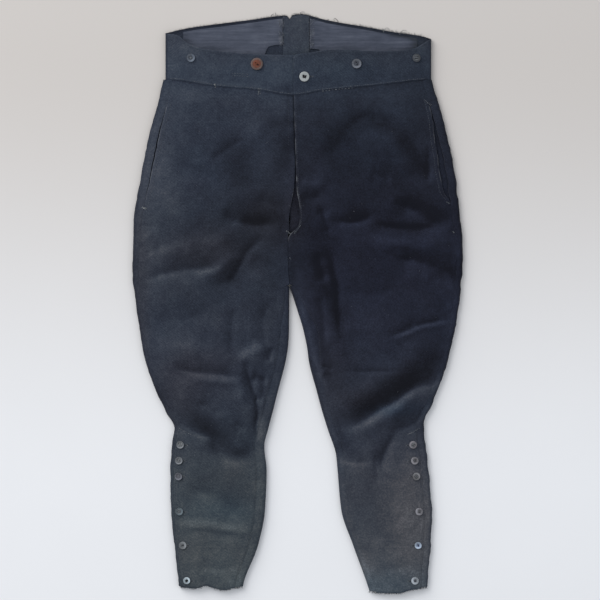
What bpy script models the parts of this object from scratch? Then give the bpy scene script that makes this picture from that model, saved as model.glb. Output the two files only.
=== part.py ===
"""Button-calf riding breeches in heavy wool, laid flat with the front side up.

The garment lies on the plane z = 0. +Y runs up to the waist, +X is the wearer's left.
Tables and dimensions are in millimetres; meshes are written in metres.

The cloth is a wall of one thickness. Its outer face is a height map for the side that
shows, a half-round roll at each folded edge, and the plane z = 0 underneath. The wall is
that face moved inwards along the face's own normals.
"""
import math

import bmesh
import bpy
from mathutils import Matrix, Vector
from mathutils.bvhtree import BVHTree

MM = 0.001

WALL = 2.0              # heavy wool, as cut
SEAM_GAP = 0.3          # between pieces that are sewn edge to edge
WAIST_GAP = 0.5         # at the curved waist seam, whose two sides have points of their own
LAYER_GAP = 0.8         # between a panel and the layer under it
ROLL = 4.5              # radius of a folded edge
DOME = 55.0             # how far in from a folded edge the cloth goes on rising
CENTRE_BACK_X = -13.0   # centre back seam
CROTCH_Y = 31.0         # where the two legs part
CROTCH_VALLEY = 70.0    # the valley between the legs fades out this far above the crotch
BAND_FOLD_X = {"right": -219.6, "left": 222.8}
SIDES = ("right", "left")
INWARDS = {"right": 1.0, "left": -1.0}      # X direction from a leg's outseam to its inseam

# ---- outline of each leg: y, x ------------------------------------------------------------
OUTER = {
    "right": [(-488, -196.5), (-472, -197.3), (-402, -204.6), (-344, -210.4), (-278, -211.6),
              (-236, -208.6), (-207.5, -204.9), (-178, -220.1), (-144, -235.9), (-94, -253.3),
              (-44, -262.3), (6, -269.8), (56, -274.9), (98, -273.6), (142, -272.3),
              (189, -264.6), (239, -255.6), (289, -244.3), (339, -231.1), (373, -222.9)],
    "left": [(-488, 216.0), (-474, 216.4), (-402, 222.1), (-352, 223.9), (-294, 219.7),
             (-244, 214.7), (-201, 210.4), (-178, 219.2), (-144, 233.8), (-94, 251.1),
             (-44, 262.6), (6, 269.9), (72, 275.1), (106, 274.7), (146, 270.8),
             (189, 265.9), (239, 258.1), (289, 247.7), (339, 232.6), (373, 223.6)],
}
INNER = {
    "right": [(-488, -92.0), (-472, -90.6), (-402, -65.3), (-344, -53.9), (-278, -51.2),
              (-238, -55.1), (-208, -48.3), (-178, -40.4), (-144, -31.9), (-94, -19.1),
              (-69, -15.3), (-44, -13.9), (31, -13.5), (373, -13.5)],
    "left": [(-488, 122.5), (-474, 118.5), (-402, 92.7), (-344, 73.2), (-278, 66.9),
             (-252, 64.4), (-211, 51.2), (-178, 40.9), (-144, 31.7), (-94, 18.8),
             (-78, 16.9), (-44, 9.9), (6, -5.4), (31, -12.5), (373, -12.5)],
}

# ---- centre front: edge of each front panel along the fly and the seam below it: y, x -----
CENTRE_FRONT = {
    "right": [(31, -13.3), (69, -15.8), (108, -15.8), (124, -13.8), (136, -14.0), (156, -12.0),
              (189, -6.0), (222, -4.0), (289, -5.2), (373, -7.2)],
    "left": [(31, -12.7), (69, -15.4), (108, -15.2), (116, -11.0), (124, -2.0), (136, 4.0),
             (156, 4.0), (189, -1.0), (222, -2.2), (289, -4.4), (373, -6.6)],
}

# ---- distance of the seams from the folded edge: y, distance -------------------------------
OUTSEAM = {
    "right": [(-480, 5.5), (-207, 5.5), (-190, 6.7), (0, 8.7), (100, 11.7), (168, 15), (373, 15.7)],
    "left": [(-480, 10.7), (-400, 12.3), (-207, 12.3), (-190, 11.7), (0, 10.7), (118, 12.7),
             (168, 13.5), (250, 14.5), (336, 15.8), (373, 15.7)],
}
INSEAM = {
    "right": [(-480, 13), (-344, 16), (-144, 15), (-44, 14), (-10, 9), (31, 5.1)],
    "left": [(-480, 11), (-278, 12), (-144, 14), (-69, 19), (-44, 22), (-10, 15), (31, 5.1)],
}

# ---- how far the front's edge stands off the outseam where a side pocket gapes: y, distance --
POCKET_GAPE = {
    "right": [(168, 0.0), (200, 1.0), (260, 2.0), (336, 0.0)],
    "left": [(168, 0.0), (187, 8.5), (204, 11.5), (229, 10.5), (266, 8.0), (309, 2.0), (336, 0.0)],
}

# ---- how high the cloth stands away from the edges: y, height of the outer face ------------
PUFF = [(-490, 10.5), (-400, 12.5), (-300, 13.5), (-235, 15), (-190, 20), (-120, 19),
        (-50, 20), (31, 19.5), (100, 19), (200, 17), (300, 15), (372, 13.5), (482, 12)]

# ---- largest folds of the front: points along the fold, half width, height -----------------
FOLDS = {
    "right": [
        # route                                                    width  height
        ([(-95, 310), (-45, 245)],                                    28, -3.0),
        ([(-104, 131), (-21, 152)],                                   20, -3.5),
        ([(-246, 76), (-162, 101), (-87, 131)],                       18, 4.0),
        ([(-262, 51), (-179, 59), (-137, 69), (-79, 106)],            13, -4.0),
        ([(-142, 22), (-109, 41), (-79, 81)],                         13, -3.0),
        ([(-99, -94), (-49, -71)],                                    12, 3.0),
        ([(-202, -112), (-96, -119)],                                 11, -4.0),
        ([(-99, -98), (-81, -136), (-72, -191)],                      11, -3.5),
        ([(-221, -132), (-137, -181), (-96, -202)],                   22, 4.0),
        ([(-211, -198), (-179, -216), (-142, -244), (-62, -266)],     13, -4.5),
        ([(-187, -328), (-87, -356)],                                 15, -2.0),
        ([(-199, -369), (-69, -382)],                                 15, 2.0),
    ],
    "left": [
        ([(21, 222), (63, 322)],                                      16, 2.5),
        ([(54, 222), (88, 319)],                                      16, -3.5),
        ([(100, 256), (150, 256)],                                    42, 4.0),
        ([(129, 137), (249, 126)],                                    13, -4.0),
        ([(121, 101), (204, 96), (263, 69)],                          14, 4.0),
        ([(138, 59), (238, 31)],                                      15, -4.0),
        ([(18, 81), (33, 51), (49, 12)],                              12, -3.0),
        ([(49, 89), (59, 39), (68, 4), (61, -99)],                    14, -3.5),
        ([(171, -46), (258, -26)],                                    11, -2.5),
        ([(79, -161), (138, -136), (188, -102), (231, -61)],          20, 4.0),
        ([(71, -199), (126, -186), (164, -166), (224, -136)],         13, -4.5),
        ([(91, -221), (146, -198), (179, -179), (214, -159)],         12, 2.5),
        ([(66, -248), (91, -259), (146, -239), (211, -196)],          13, -4.0),
    ],
}
FOLD_FADE = 0.3         # share of a fold's length over which each end dies away

# ---- waistband: x, y ----------------------------------------------------------------------
WAIST_SEAM_FRONT = [(-226, 373), (-200, 371), (-142, 362), (-66, 355), (-7, 346), (38, 353),
                    (125, 362), (217, 372), (226, 372.5)]
WAIST_SEAM_BACK = [(-215, 371.7), (-110, 379), (-13, 388), (110, 379), (218, 371.7)]
BAND_TOP_FRONT = {
    "right": [(-220, 450), (-199, 446), (-184, 434), (-169, 427), (-146, 422), (-122, 419),
              (-94, 416), (-54, 414), (-9, 413), (30, 410)],
    "left": [(-7, 409), (-1, 414), (21, 417), (61, 422), (103, 421), (138, 419), (173, 421),
             (196, 425), (208, 432), (223, 441)],
}
BAND_TOP_BACK = {
    "right": [(-220, 450), (-180, 459), (-130, 465.8), (-77, 472.5), (-28, 479), (-18, 479.5),
              (-13, 474)],
    "left": [(-13, 474), (-8, 480), (8, 482), (23, 479), (47, 472.5), (82, 466), (123, 459),
             (158, 452.5), (203, 446), (223, 441)],
}
BAND_END_X = {"right": 28.0, "left": -6.4}      # the left end laps over the right one
LAP_LIFT = WALL + LAYER_GAP                     # raised by the end that lies under it
LAP_FADE = 60.0
LAP_BY_HEIGHT = [(60, 0.0), (116, 0.15), (250, 0.3), (346, 1.0), (420, 1.0)]

# ---- hems: x, y ---------------------------------------------------------------------------
HEM = {
    "right": [(-198, -471), (-171, -474), (-152, -469.5), (-137, -474), (-121, -477),
              (-109, -474), (-90, -472)],
    "left": [(118, -479), (138, -481.5), (168, -482), (188, -477), (217, -472)],
}
BACK_HEM_SHORTER = 1.5
HEM_NOMINAL, HEM_BLEND = -472.0, 70.0
WAIST_NOMINAL, WAIST_BLEND = 360.0, 70.0

# ---- rows of each leg: from y, to y, number of steps ---------------------------------------
LEG_ROWS = [(HEM_NOMINAL, -300, 7), (-300, -90, 13), (-90, CROTCH_Y, 6),
            (CROTCH_Y + 1.5, 130, 5), (130, WAIST_NOMINAL, 9)]
FRONT_COLUMNS = 15
FLOOR_COLUMNS = 6
ROLL_STEPS = 4

# ---- pieces under the front panels: thickness and extent ------------------------------------
UNDERLAP_THICKNESS = 1.5
FLY_UNDERLAP = {"left_of_edge": 16.0, "right_of_edge": 24.0, "bottom": 119.0, "top": 340.0}
POCKET_BEARER = {"from_edge": 8.5, "to_edge": 46.0, "bottom": 150.0, "top": 350.0}
CALF_STAND = {"from_edge": 7.0, "to_edge": 38.0, "bottom": -462.0, "top": -224.0}

# ---- inside of the back waistband -----------------------------------------------------------
LINING_THICKNESS = 1.0
LINING_BELOW_TOP = 5.0
LINING_X = {"right": (-190.0, -24.5), "left": (21.0, 200.0)}
LINING_BOTTOM = {"right": [(-190, 402), (-50, 428), (-24, 431)],
                 "left": [(21, 424), (50, 421), (200, 402)]}
INLAY = {"thickness": 1.5, "left": -23.5, "right": 20.0, "bottom": 400.0, "below_top": 1.5}

# ---- buttons: name, x, y, diameter, thickness, panel that carries it, material --------------
WAIST_BUTTONS = [
    ("waist_button_1", -176.9, 408.3, 14.5, 2.6, "waistband_right", "button_grey"),
    ("waist_button_2", -67.3, 398.0, 21.0, 3.4, "waistband_right", "button_brown"),
    ("waist_button_3", 11.6, 376.8, 18.0, 3.0, "waistband_left", "button_white"),
    ("waist_button_4", 98.6, 398.7, 16.5, 2.8, "waistband_left", "button_grey"),
    ("waist_button_5", 197.9, 408.3, 14.0, 2.6, "waistband_left", "button_dark"),
]
CALF_BUTTON_Y = [-235.0, -261.3, -287.6, -346.0, -402.3, -461.0]
CALF_BUTTON_IN = {"right": 14.2, "left": 21.5}      # distance from the folded edge
CALF_BUTTON = {"diameter": 13.2, "thickness": 2.4}
BUTTON_GAP = 0.3

# ---- materials: base colour, roughness ------------------------------------------------------
MATERIALS = {
    "navy_wool": ((0.022, 0.026, 0.037), 0.95),
    "blue_grey_lining": ((0.090, 0.102, 0.140), 0.85),
    "button_white": ((0.75, 0.77, 0.74), 0.35),
    "button_brown": ((0.30, 0.13, 0.08), 0.40),
    "button_grey": ((0.30, 0.31, 0.32), 0.40),
    "button_dark": ((0.07, 0.06, 0.055), 0.40),
    "button_calf": ((0.20, 0.22, 0.23), 0.45),
}


# ---------------------------------------------------------------------------- curves and maps
def smooth(t):
    """0 to 1 with level ends."""
    t = min(max(t, 0.0), 1.0)
    return t * t * (3.0 - 2.0 * t)


def spline(table, at):
    """Smooth curve through the rows (position, value); it never swings past a row."""
    if at <= table[0][0]:
        return table[0][1]
    if at >= table[-1][0]:
        return table[-1][1]
    k = max(i for i in range(len(table) - 1) if table[i][0] <= at)

    def slope(i):
        return (table[i + 1][1] - table[i][1]) / (table[i + 1][0] - table[i][0])

    def tangent(i):
        if i == 0 or i == len(table) - 1:
            return slope(min(i, len(table) - 2))
        before, after = slope(i - 1), slope(i)
        return 0.0 if before * after <= 0.0 else 2.0 * before * after / (before + after)

    span = table[k + 1][0] - table[k][0]
    t = (at - table[k][0]) / span
    start, end = table[k][1], table[k + 1][1]
    return (start + (end - start) * t * t * (3 - 2 * t)
            + span * t * (1 - t) * (tangent(k) * (1 - t) - tangent(k + 1) * t))


def route_distance(route, x, y):
    """Distance from a route of straight runs, and how far along it the nearest point is."""
    lengths = [math.dist(route[i], route[i + 1]) for i in range(len(route) - 1)]
    best, share, done = 1e9, 0.0, 0.0
    for (ax, ay), (bx, by), length in zip(route, route[1:], lengths):
        t = ((x - ax) * (bx - ax) + (y - ay) * (by - ay)) / length ** 2
        t = min(max(t, 0.0), 1.0)
        away = math.hypot(x - ax - t * (bx - ax), y - ay - t * (by - ay))
        if away < best:
            best, share = away, (done + t * length) / sum(lengths)
        done += length
    return best, share


def folds(side, x, y):
    total = 0.0
    for route, width, height in FOLDS[side]:
        away, share = route_distance(route, x, y)
        if away < 3.0 * width:
            fade = smooth(min(share, 1.0 - share) / FOLD_FADE)
            total += height * fade * math.exp(-(away / width) ** 2)
    return total


def rise(distance):
    """Share of the full height reached at a distance from a folded edge."""
    return math.sin(0.5 * math.pi * min(max((distance - ROLL) / DOME, 0.0), 1.0))


def outer_x(side, y):
    return BAND_FOLD_X[side] if y > OUTER[side][-1][0] else spline(OUTER[side], y)


def lap_lift(side, x, y):
    """How far the left side is raised where it laps over the right one."""
    if side == "right":
        return 0.0
    share = 1.0 - smooth((x - BAND_END_X["right"]) / LAP_FADE)
    return LAP_LIFT * share * spline(LAP_BY_HEIGHT, y)


def height(side, x, y):
    """Height of the front's outer face."""
    from_outer = rise(abs(x - outer_x(side, y)))
    from_inner = rise((spline(INNER[side], y) - x) * INWARDS[side])
    open_above = smooth((y - CROTCH_Y) / CROTCH_VALLEY)
    share = from_outer * (from_inner + (1.0 - from_inner) * open_above)
    stand = spline(PUFF, y) - 2.0 * ROLL + folds(side, x, y)
    return 2.0 * ROLL + share * stand + lap_lift(side, x, y)


# --------------------------------------------------- points on the outer face: place, normal
def on_top(side, x, y):
    step = 0.5
    slope_x = (height(side, x + step, y) - height(side, x - step, y)) / (2 * step)
    slope_y = (height(side, x, y + step) - height(side, x, y - step)) / (2 * step)
    return Vector((x, y, height(side, x, y))), Vector((-slope_x, -slope_y, 1.0)).normalized()


def on_roll(edge_x, outwards, y, turn):
    """turn runs from 0 at the top of a folded edge to 1 on the floor."""
    angle = math.pi * (0.5 - turn)
    normal = Vector((outwards * math.cos(angle), 0.0, math.sin(angle)))
    centre = Vector((edge_x - outwards * ROLL, y, ROLL))
    return centre + ROLL * normal, normal


def on_floor(x, y):
    return Vector((x, y, 0.0)), Vector((0.0, 0.0, -1.0))


# ------------------------------------------------------------------------- building of solids
def make_material(name):
    colour, roughness = MATERIALS[name]
    material = bpy.data.materials.new(name)
    material.use_nodes = True
    shader = material.node_tree.nodes["Principled BSDF"]
    shader.inputs["Base Color"].default_value = (*colour, 1.0)
    shader.inputs["Roughness"].default_value = roughness
    shader.inputs["Metallic"].default_value = 0.0
    return material


def add_object(name, bm, material):
    bmesh.ops.recalc_face_normals(bm, faces=bm.faces)
    mesh = bpy.data.meshes.new(name)
    bm.to_mesh(mesh)
    bm.free()
    mesh.materials.append(bpy.data.materials[material])
    obj = bpy.data.objects.new(name, mesh)
    bpy.context.scene.collection.objects.link(obj)
    mesh.shade_smooth()
    mesh.set_sharp_from_angle(angle=math.radians(40))
    return obj


def cloth(name, columns, rows, spot, material="navy_wool", depth=(0.0, WALL)):
    """A wall between two depths under the face that spot(column, row) gives."""
    bm = bmesh.new()
    bmesh.ops.create_grid(bm, x_segments=columns, y_segments=rows, size=0.5)
    inward = bm.verts.layers.float_vector.new("inward")
    for vert in bm.verts:
        column = round((vert.co.x + 0.5) * columns)
        row = round((vert.co.y + 0.5) * rows)
        place, normal = spot(column, row)
        vert.co = (place - normal * depth[0]) * MM
        vert[inward] = -normal * (depth[1] - depth[0]) * MM
    moved = bmesh.ops.extrude_face_region(bm, geom=bm.faces[:], use_keep_orig=True)
    for vert in moved["geom"]:
        if isinstance(vert, bmesh.types.BMVert):
            vert.co += vert[inward]
    return add_object(name, bm, material)


def between(start, end, share):
    return start + (end - start) * share


def leg_rows():
    rows = []
    for start, end, steps in LEG_ROWS:
        rows += [between(start, end, k / steps) for k in range(steps + 1)]
    return sorted(set(rows))


def settle(side, share_x, nominal_y, hem_shift, seam):
    """A point's x and y, once its row has been bent to the hem and the waist seam.

    share_x(y) gives x on a level row.
    """
    y = nominal_y
    for _ in range(4):
        x = share_x(y)
        up = smooth((nominal_y - WAIST_NOMINAL + WAIST_BLEND) / WAIST_BLEND)
        down = smooth((HEM_NOMINAL + HEM_BLEND - nominal_y) / HEM_BLEND)
        y = (nominal_y + up * (spline(seam, x) - 0.5 * WAIST_GAP - WAIST_NOMINAL)
             + down * (spline(HEM[side], x) + hem_shift - HEM_NOMINAL))
    return share_x(y), y


# -------------------------------------------------------------------------------- the pieces
def front_panel(side):
    rows = leg_rows()
    inwards = INWARDS[side]

    def spot(column, row):
        even = column / FRONT_COLUMNS
        share = 0.5 * even + 0.25 * (1.0 - math.cos(math.pi * even))

        def share_x(y):
            off_edge = (spline(OUTSEAM[side], y) + SEAM_GAP
                        + spline(POCKET_GAPE[side], y))
            start = outer_x(side, y) + inwards * off_edge
            if rows[row] > CROTCH_Y:
                end = spline(CENTRE_FRONT[side], y)
            else:
                end = spline(INNER[side], y) - inwards * (spline(INSEAM[side], y) + SEAM_GAP)
            return between(start, end, share)

        return on_top(side, *settle(side, share_x, rows[row], 0.0, WAIST_SEAM_FRONT))

    return cloth(f"front_{side}", FRONT_COLUMNS, len(rows) - 1, spot)


def back_panel(side):
    """The back of a leg: a flat floor, and the turns that bring it round onto the top.

    It is one cut piece. It is three solids, because a flat floor and two narrow turns
    leave the hollow of the leg open.
    """
    rows = leg_rows()
    below = [y for y in rows if y <= CROTCH_Y]
    inwards = INWARDS[side]
    turn = [k / ROLL_STEPS for k in range(ROLL_STEPS + 1)]

    def station_x(kind, share, y, above):
        outer, inner = outer_x(side, y), spline(INNER[side], y)
        if above:
            floor_end = CENTRE_BACK_X - inwards * 0.5 * SEAM_GAP
        else:
            floor_end = inner - inwards * (ROLL + SEAM_GAP)
        return {
            "outseam edge": outer + inwards * spline(OUTSEAM[side], y),
            "outer roll": outer + inwards * ROLL,
            "floor": between(outer + inwards * (ROLL + SEAM_GAP), floor_end, share),
            "inner roll": inner - inwards * ROLL,
            "inseam edge": inner - inwards * spline(INSEAM[side], y),
        }[kind]

    def solid(name, stations, rows):
        def spot(column, row):
            kind, share = stations[column]
            above = rows[row] > CROTCH_Y
            seam = WAIST_SEAM_BACK if kind == "floor" else WAIST_SEAM_FRONT
            x, y = settle(side, lambda y: station_x(kind, share, y, above), rows[row],
                          BACK_HEM_SHORTER, seam)
            if kind == "outer roll":
                return on_roll(outer_x(side, y), -inwards, y, share)
            if kind == "inner roll":
                return on_roll(spline(INNER[side], y), inwards, y, share)
            if kind == "floor":
                return on_floor(x, y)
            return on_top(side, x, y)

        cloth(name, len(stations) - 1, len(rows) - 1, spot)

    solid(f"back_{side}", [("floor", k / FLOOR_COLUMNS) for k in range(FLOOR_COLUMNS + 1)],
          rows)
    solid(f"back_{side}_outseam_turn",
          [("outseam edge", 0.0)] + [("outer roll", t) for t in turn], rows)
    solid(f"back_{side}_inseam_turn",
          [("inseam edge", 0.0)] + [("inner roll", t) for t in turn], below)


def waistband(side):
    """One strip from the fly round the side fold to the centre back seam."""
    inwards = INWARDS[side]
    fold = BAND_FOLD_X[side]
    front_steps, back_steps, rows = 14, 9, 4
    top_of_fold = fold + inwards * ROLL

    def spot(column, row):
        share = row / rows
        if column < front_steps:
            x = between(BAND_END_X[side], top_of_fold, column / front_steps)
            bottom, top = spline(WAIST_SEAM_FRONT, x), spline(BAND_TOP_FRONT[side], x)
            return on_top(side, x, between(bottom + 0.5 * WAIST_GAP, top, share))
        if column <= front_steps + ROLL_STEPS:
            turn = (column - front_steps) / ROLL_STEPS
            bottom = spline(WAIST_SEAM_FRONT, top_of_fold)
            top = between(spline(BAND_TOP_FRONT[side], top_of_fold),
                          spline(BAND_TOP_BACK[side], top_of_fold), turn)
            return on_roll(fold, -inwards, between(bottom + 0.5 * WAIST_GAP, top, share), turn)
        centre = CENTRE_BACK_X - inwards * 0.5 * SEAM_GAP
        to_go = 1.0 - (column - front_steps - ROLL_STEPS) / back_steps
        x = between(centre, top_of_fold, to_go ** 1.6)      # closer together at the peak
        bottom, top = spline(WAIST_SEAM_BACK, x), spline(BAND_TOP_BACK[side], x)
        return on_floor(x, between(bottom + 0.5 * WAIST_GAP, top, share))

    return cloth(f"waistband_{side}", front_steps + ROLL_STEPS + back_steps, rows, spot)


def layer_under(name, side, x_range, y_range, columns, rows, thickness):
    """A strip that lies under the front; x_range(y) gives its two long edges."""
    top_depth = WALL + LAYER_GAP

    def spot(column, row):
        y = between(*y_range, row / rows)
        return on_top(side, between(*x_range(y), column / columns), y)

    return cloth(name, columns, rows, spot, depth=(top_depth, top_depth + thickness))


def edge_strip(side, extent):
    """The two long edges of a strip that follows the folded outer edge."""
    inwards = INWARDS[side]

    def x_range(y):
        return (outer_x(side, y) + inwards * extent["from_edge"],
                outer_x(side, y) + inwards * extent["to_edge"])

    return x_range


def fly_underlap():
    def x_range(y):
        edge = spline(CENTRE_FRONT["left"], y)
        return edge - FLY_UNDERLAP["left_of_edge"], edge + FLY_UNDERLAP["right_of_edge"]

    return layer_under("fly_underlap", "right", x_range,
                       (FLY_UNDERLAP["bottom"], FLY_UNDERLAP["top"]), 4, 12,
                       UNDERLAP_THICKNESS)


def inside_layer(name, x_edges, y_edges, columns, rows, thickness, material):
    """A flat layer on the inside of the back waistband; y_edges(x) gives bottom and top."""
    lift = WALL + SEAM_GAP

    def spot(column, row):
        x = between(*x_edges, column / columns)
        bottom, top = y_edges(x)
        return Vector((x, between(bottom, top, row / rows), lift)), Vector((0, 0, -1.0))

    return cloth(name, columns, rows, spot, material, depth=(0.0, thickness))


def waist_lining(side):
    def y_edges(x):
        return (spline(LINING_BOTTOM[side], x),
                spline(BAND_TOP_BACK[side], x) - LINING_BELOW_TOP)

    return inside_layer(f"waist_lining_{side}", LINING_X[side], y_edges, 6, 2,
                        LINING_THICKNESS, "blue_grey_lining")


def centre_back_inlay():
    def y_edges(x):
        side = "right" if x < CENTRE_BACK_X else "left"
        return INLAY["bottom"], spline(BAND_TOP_BACK[side], x) - INLAY["below_top"]

    return inside_layer("centre_back_inlay", (INLAY["left"], INLAY["right"]), y_edges, 8, 2,
                        INLAY["thickness"], "navy_wool")


def turned_button(name, diameter, thickness, segments, material):
    """A dished button turned about Z, its back on z = 0."""
    radius = 0.5 * diameter * MM
    thick = thickness * MM
    profile = [(0.0, 0.55 * thick), (0.62 * radius, 0.6 * thick), (0.78 * radius, thick),
               (0.94 * radius, 0.92 * thick), (radius, 0.55 * thick), (0.8 * radius, 0.0),
               (0.0, 0.0)]
    bm = bmesh.new()
    points = [bm.verts.new((r, 0.0, z)) for r, z in profile]
    edges = [bm.edges.new(pair) for pair in zip(points, points[1:])]
    bmesh.ops.spin(bm, geom=points + edges, cent=(0, 0, 0), axis=(0, 0, 1),
                   angle=2 * math.pi, steps=segments)
    bmesh.ops.remove_doubles(bm, verts=bm.verts, dist=0.00001)
    return add_object(name, bm, material)


def seat(button, panel, side, x, y, radius):
    """Lay a button on a panel's own facets, leaning with the cloth."""
    tree = BVHTree.FromObject(panel, bpy.context.evaluated_depsgraph_get())
    place, normal = on_top(side, x, y)
    turn = Vector((0, 0, 1)).rotation_difference(normal).to_matrix().to_4x4()
    lift = -1e9
    for ring, count in ((0.0, 1), (0.5, 8), (1.0, 16)):
        for k in range(count):
            angle = 2 * math.pi * k / count
            flat = Vector((math.cos(angle), math.sin(angle), 0.0)) * ring * radius
            under = place + turn.to_3x3() @ flat
            hit, _, _, _ = tree.ray_cast((under + normal * 20) * MM, -normal)
            if hit:
                lift = max(lift, (hit / MM - under).dot(normal))
    button.matrix_world = Matrix.Translation(
        (place + normal * (lift + BUTTON_GAP)) * MM) @ turn


def main():
    for old in list(bpy.data.objects):
        bpy.data.objects.remove(old, do_unlink=True)
    for name in MATERIALS:
        make_material(name)

    panels = {}
    for side in SIDES:
        panels[f"front_{side}"] = front_panel(side)
        panels[f"waistband_{side}"] = waistband(side)
        back_panel(side)
        waist_lining(side)
        layer_under(f"pocket_bearer_{side}", side, edge_strip(side, POCKET_BEARER),
                    (POCKET_BEARER["bottom"], POCKET_BEARER["top"]), 3, 8, UNDERLAP_THICKNESS)
        layer_under(f"calf_stand_{side}", side, edge_strip(side, CALF_STAND),
                    (CALF_STAND["bottom"], CALF_STAND["top"]), 3, 12, UNDERLAP_THICKNESS)
    fly_underlap()
    centre_back_inlay()

    for name, x, y, diameter, thickness, carrier, material in WAIST_BUTTONS:
        button = turned_button(name, diameter, thickness, 18, material)
        side = carrier.split("_")[1]
        seat(button, panels[carrier], side, x, y, 0.5 * diameter)
    for side in SIDES:
        for number, y in enumerate(CALF_BUTTON_Y, start=1):
            button = turned_button(f"calf_button_{side}_{number}", CALF_BUTTON["diameter"],
                                   CALF_BUTTON["thickness"], 14, "button_calf")
            x = outer_x(side, y) + INWARDS[side] * CALF_BUTTON_IN[side]
            seat(button, panels[f"front_{side}"], side, x, y, 0.5 * CALF_BUTTON["diameter"])


main()
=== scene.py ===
"""Button-calf riding breeches in heavy navy wool, laid flat on a pale table.

Tables and sizes are in millimetres, meshes in metres. +Y runs up to the waist, +X is the
wearer's left. Every panel of cloth is one sheet: a grid whose points are put in place by
the panel's own function, then given its thickness.
"""
import functools
import math

import bpy
import numpy as np
from mathutils import Matrix, Vector

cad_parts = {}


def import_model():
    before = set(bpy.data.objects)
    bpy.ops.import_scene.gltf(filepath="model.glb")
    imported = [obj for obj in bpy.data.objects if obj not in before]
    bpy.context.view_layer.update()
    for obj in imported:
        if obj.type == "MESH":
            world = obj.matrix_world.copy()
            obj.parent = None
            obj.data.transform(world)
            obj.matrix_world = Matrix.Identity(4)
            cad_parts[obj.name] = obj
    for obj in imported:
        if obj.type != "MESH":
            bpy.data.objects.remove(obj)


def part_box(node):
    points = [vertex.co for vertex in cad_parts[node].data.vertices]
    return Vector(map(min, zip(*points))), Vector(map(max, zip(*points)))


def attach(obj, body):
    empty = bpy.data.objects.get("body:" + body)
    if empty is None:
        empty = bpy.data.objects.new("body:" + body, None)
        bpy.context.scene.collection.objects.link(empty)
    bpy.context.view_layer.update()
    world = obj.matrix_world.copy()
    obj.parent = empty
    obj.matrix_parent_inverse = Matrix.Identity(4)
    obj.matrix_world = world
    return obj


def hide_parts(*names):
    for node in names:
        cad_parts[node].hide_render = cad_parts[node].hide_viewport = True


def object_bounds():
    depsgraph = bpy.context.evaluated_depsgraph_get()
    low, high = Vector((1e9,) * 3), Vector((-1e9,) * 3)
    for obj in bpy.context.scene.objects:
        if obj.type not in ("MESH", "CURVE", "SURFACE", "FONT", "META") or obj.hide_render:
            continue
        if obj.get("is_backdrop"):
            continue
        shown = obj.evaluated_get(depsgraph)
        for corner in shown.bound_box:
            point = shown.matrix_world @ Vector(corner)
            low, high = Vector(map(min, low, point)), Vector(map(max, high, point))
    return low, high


MM = 0.001
WALL = 2.0              # heavy wool, as cut
SEAM_GAP = 0.08         # between pieces that are sewn edge to edge
WAIST_GAP = 0.2         # at the curved waist seam
LAYER_GAP = 0.8         # between a panel and the layer under it
ROLL = 4.5              # radius of a folded edge
DOME = 55.0             # how far in from a folded edge the cloth goes on rising
CENTRE_BACK_X = -13.0   # centre back seam
CROTCH_Y = 31.0         # where the two legs part
CROTCH_VALLEY = 70.0    # the valley between the legs fades out this far above the crotch
BAND_FOLD_X = {"right": -219.6, "left": 222.8}
SIDES = ("right", "left")
INWARDS = {"right": 1.0, "left": -1.0}      # X direction from a leg's outseam to its inseam

# ---- outline of each leg: y, x ------------------------------------------------------------
OUTER = {
    "right": [(-488, -196.5), (-472, -197.3), (-402, -204.6), (-344, -210.4), (-278, -211.6),
              (-236, -208.6), (-207.5, -204.9), (-178, -220.1), (-144, -235.9), (-94, -253.3),
              (-44, -262.3), (6, -269.8), (56, -274.9), (98, -273.6), (142, -272.3),
              (189, -264.6), (239, -255.6), (289, -244.3), (339, -231.1), (373, -222.9)],
    "left": [(-488, 216.0), (-474, 216.4), (-402, 222.1), (-352, 223.9), (-294, 219.7),
             (-244, 214.7), (-201, 210.4), (-178, 219.2), (-144, 233.8), (-94, 251.1),
             (-44, 262.6), (6, 269.9), (72, 275.1), (106, 274.7), (146, 270.8),
             (189, 265.9), (239, 258.1), (289, 247.7), (339, 232.6), (373, 223.6)],
}

INNER = {
    "right": [(-488, -92.0), (-472, -90.6), (-402, -65.3), (-344, -53.9), (-278, -51.2),
              (-238, -55.1), (-208, -48.3), (-178, -40.4), (-144, -31.9), (-94, -19.1),
              (-69, -15.3), (-44, -13.9), (31, -13.5), (373, -13.5)],
    "left": [(-488, 122.5), (-474, 118.5), (-402, 92.7), (-344, 73.2), (-278, 66.9),
             (-252, 64.4), (-211, 51.2), (-178, 40.9), (-144, 31.7), (-94, 18.8),
             (-78, 16.9), (-44, 9.9), (6, -5.4), (31, -12.5), (373, -12.5)],
}

# ---- centre front: edge of each front panel along the fly and the seam below it: y, x -----
CENTRE_FRONT = {
    "right": [(31, -13.3), (69, -15.8), (108, -15.8), (124, -13.8), (136, -14.0), (156, -12.0),
              (189, -6.0), (222, -4.0), (289, -5.2), (373, -7.2)],
    "left": [(31, -12.7), (69, -15.4), (108, -15.2), (116, -11.0), (124, -2.0), (136, 4.0),
             (156, 4.0), (189, -1.0), (222, -2.2), (289, -4.4), (373, -6.6)],
}

# ---- distance of the seams from the folded edge: y, distance -------------------------------
OUTSEAM = {
    "right": [(-480, 5.5), (-207, 5.5), (-190, 6.7), (0, 8.7), (100, 11.7), (168, 15),
              (373, 15.7)],
    "left": [(-480, 10.7), (-400, 12.3), (-207, 12.3), (-190, 11.7), (0, 10.7), (118, 12.7),
             (168, 13.5), (250, 14.5), (336, 15.8), (373, 15.7)],
}

INSEAM = {
    "right": [(-480, 13), (-344, 16), (-144, 15), (-44, 14), (-10, 9), (31, 5.1)],
    "left": [(-480, 11), (-278, 12), (-144, 14), (-69, 19), (-44, 22), (-10, 15), (31, 5.1)],
}

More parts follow.
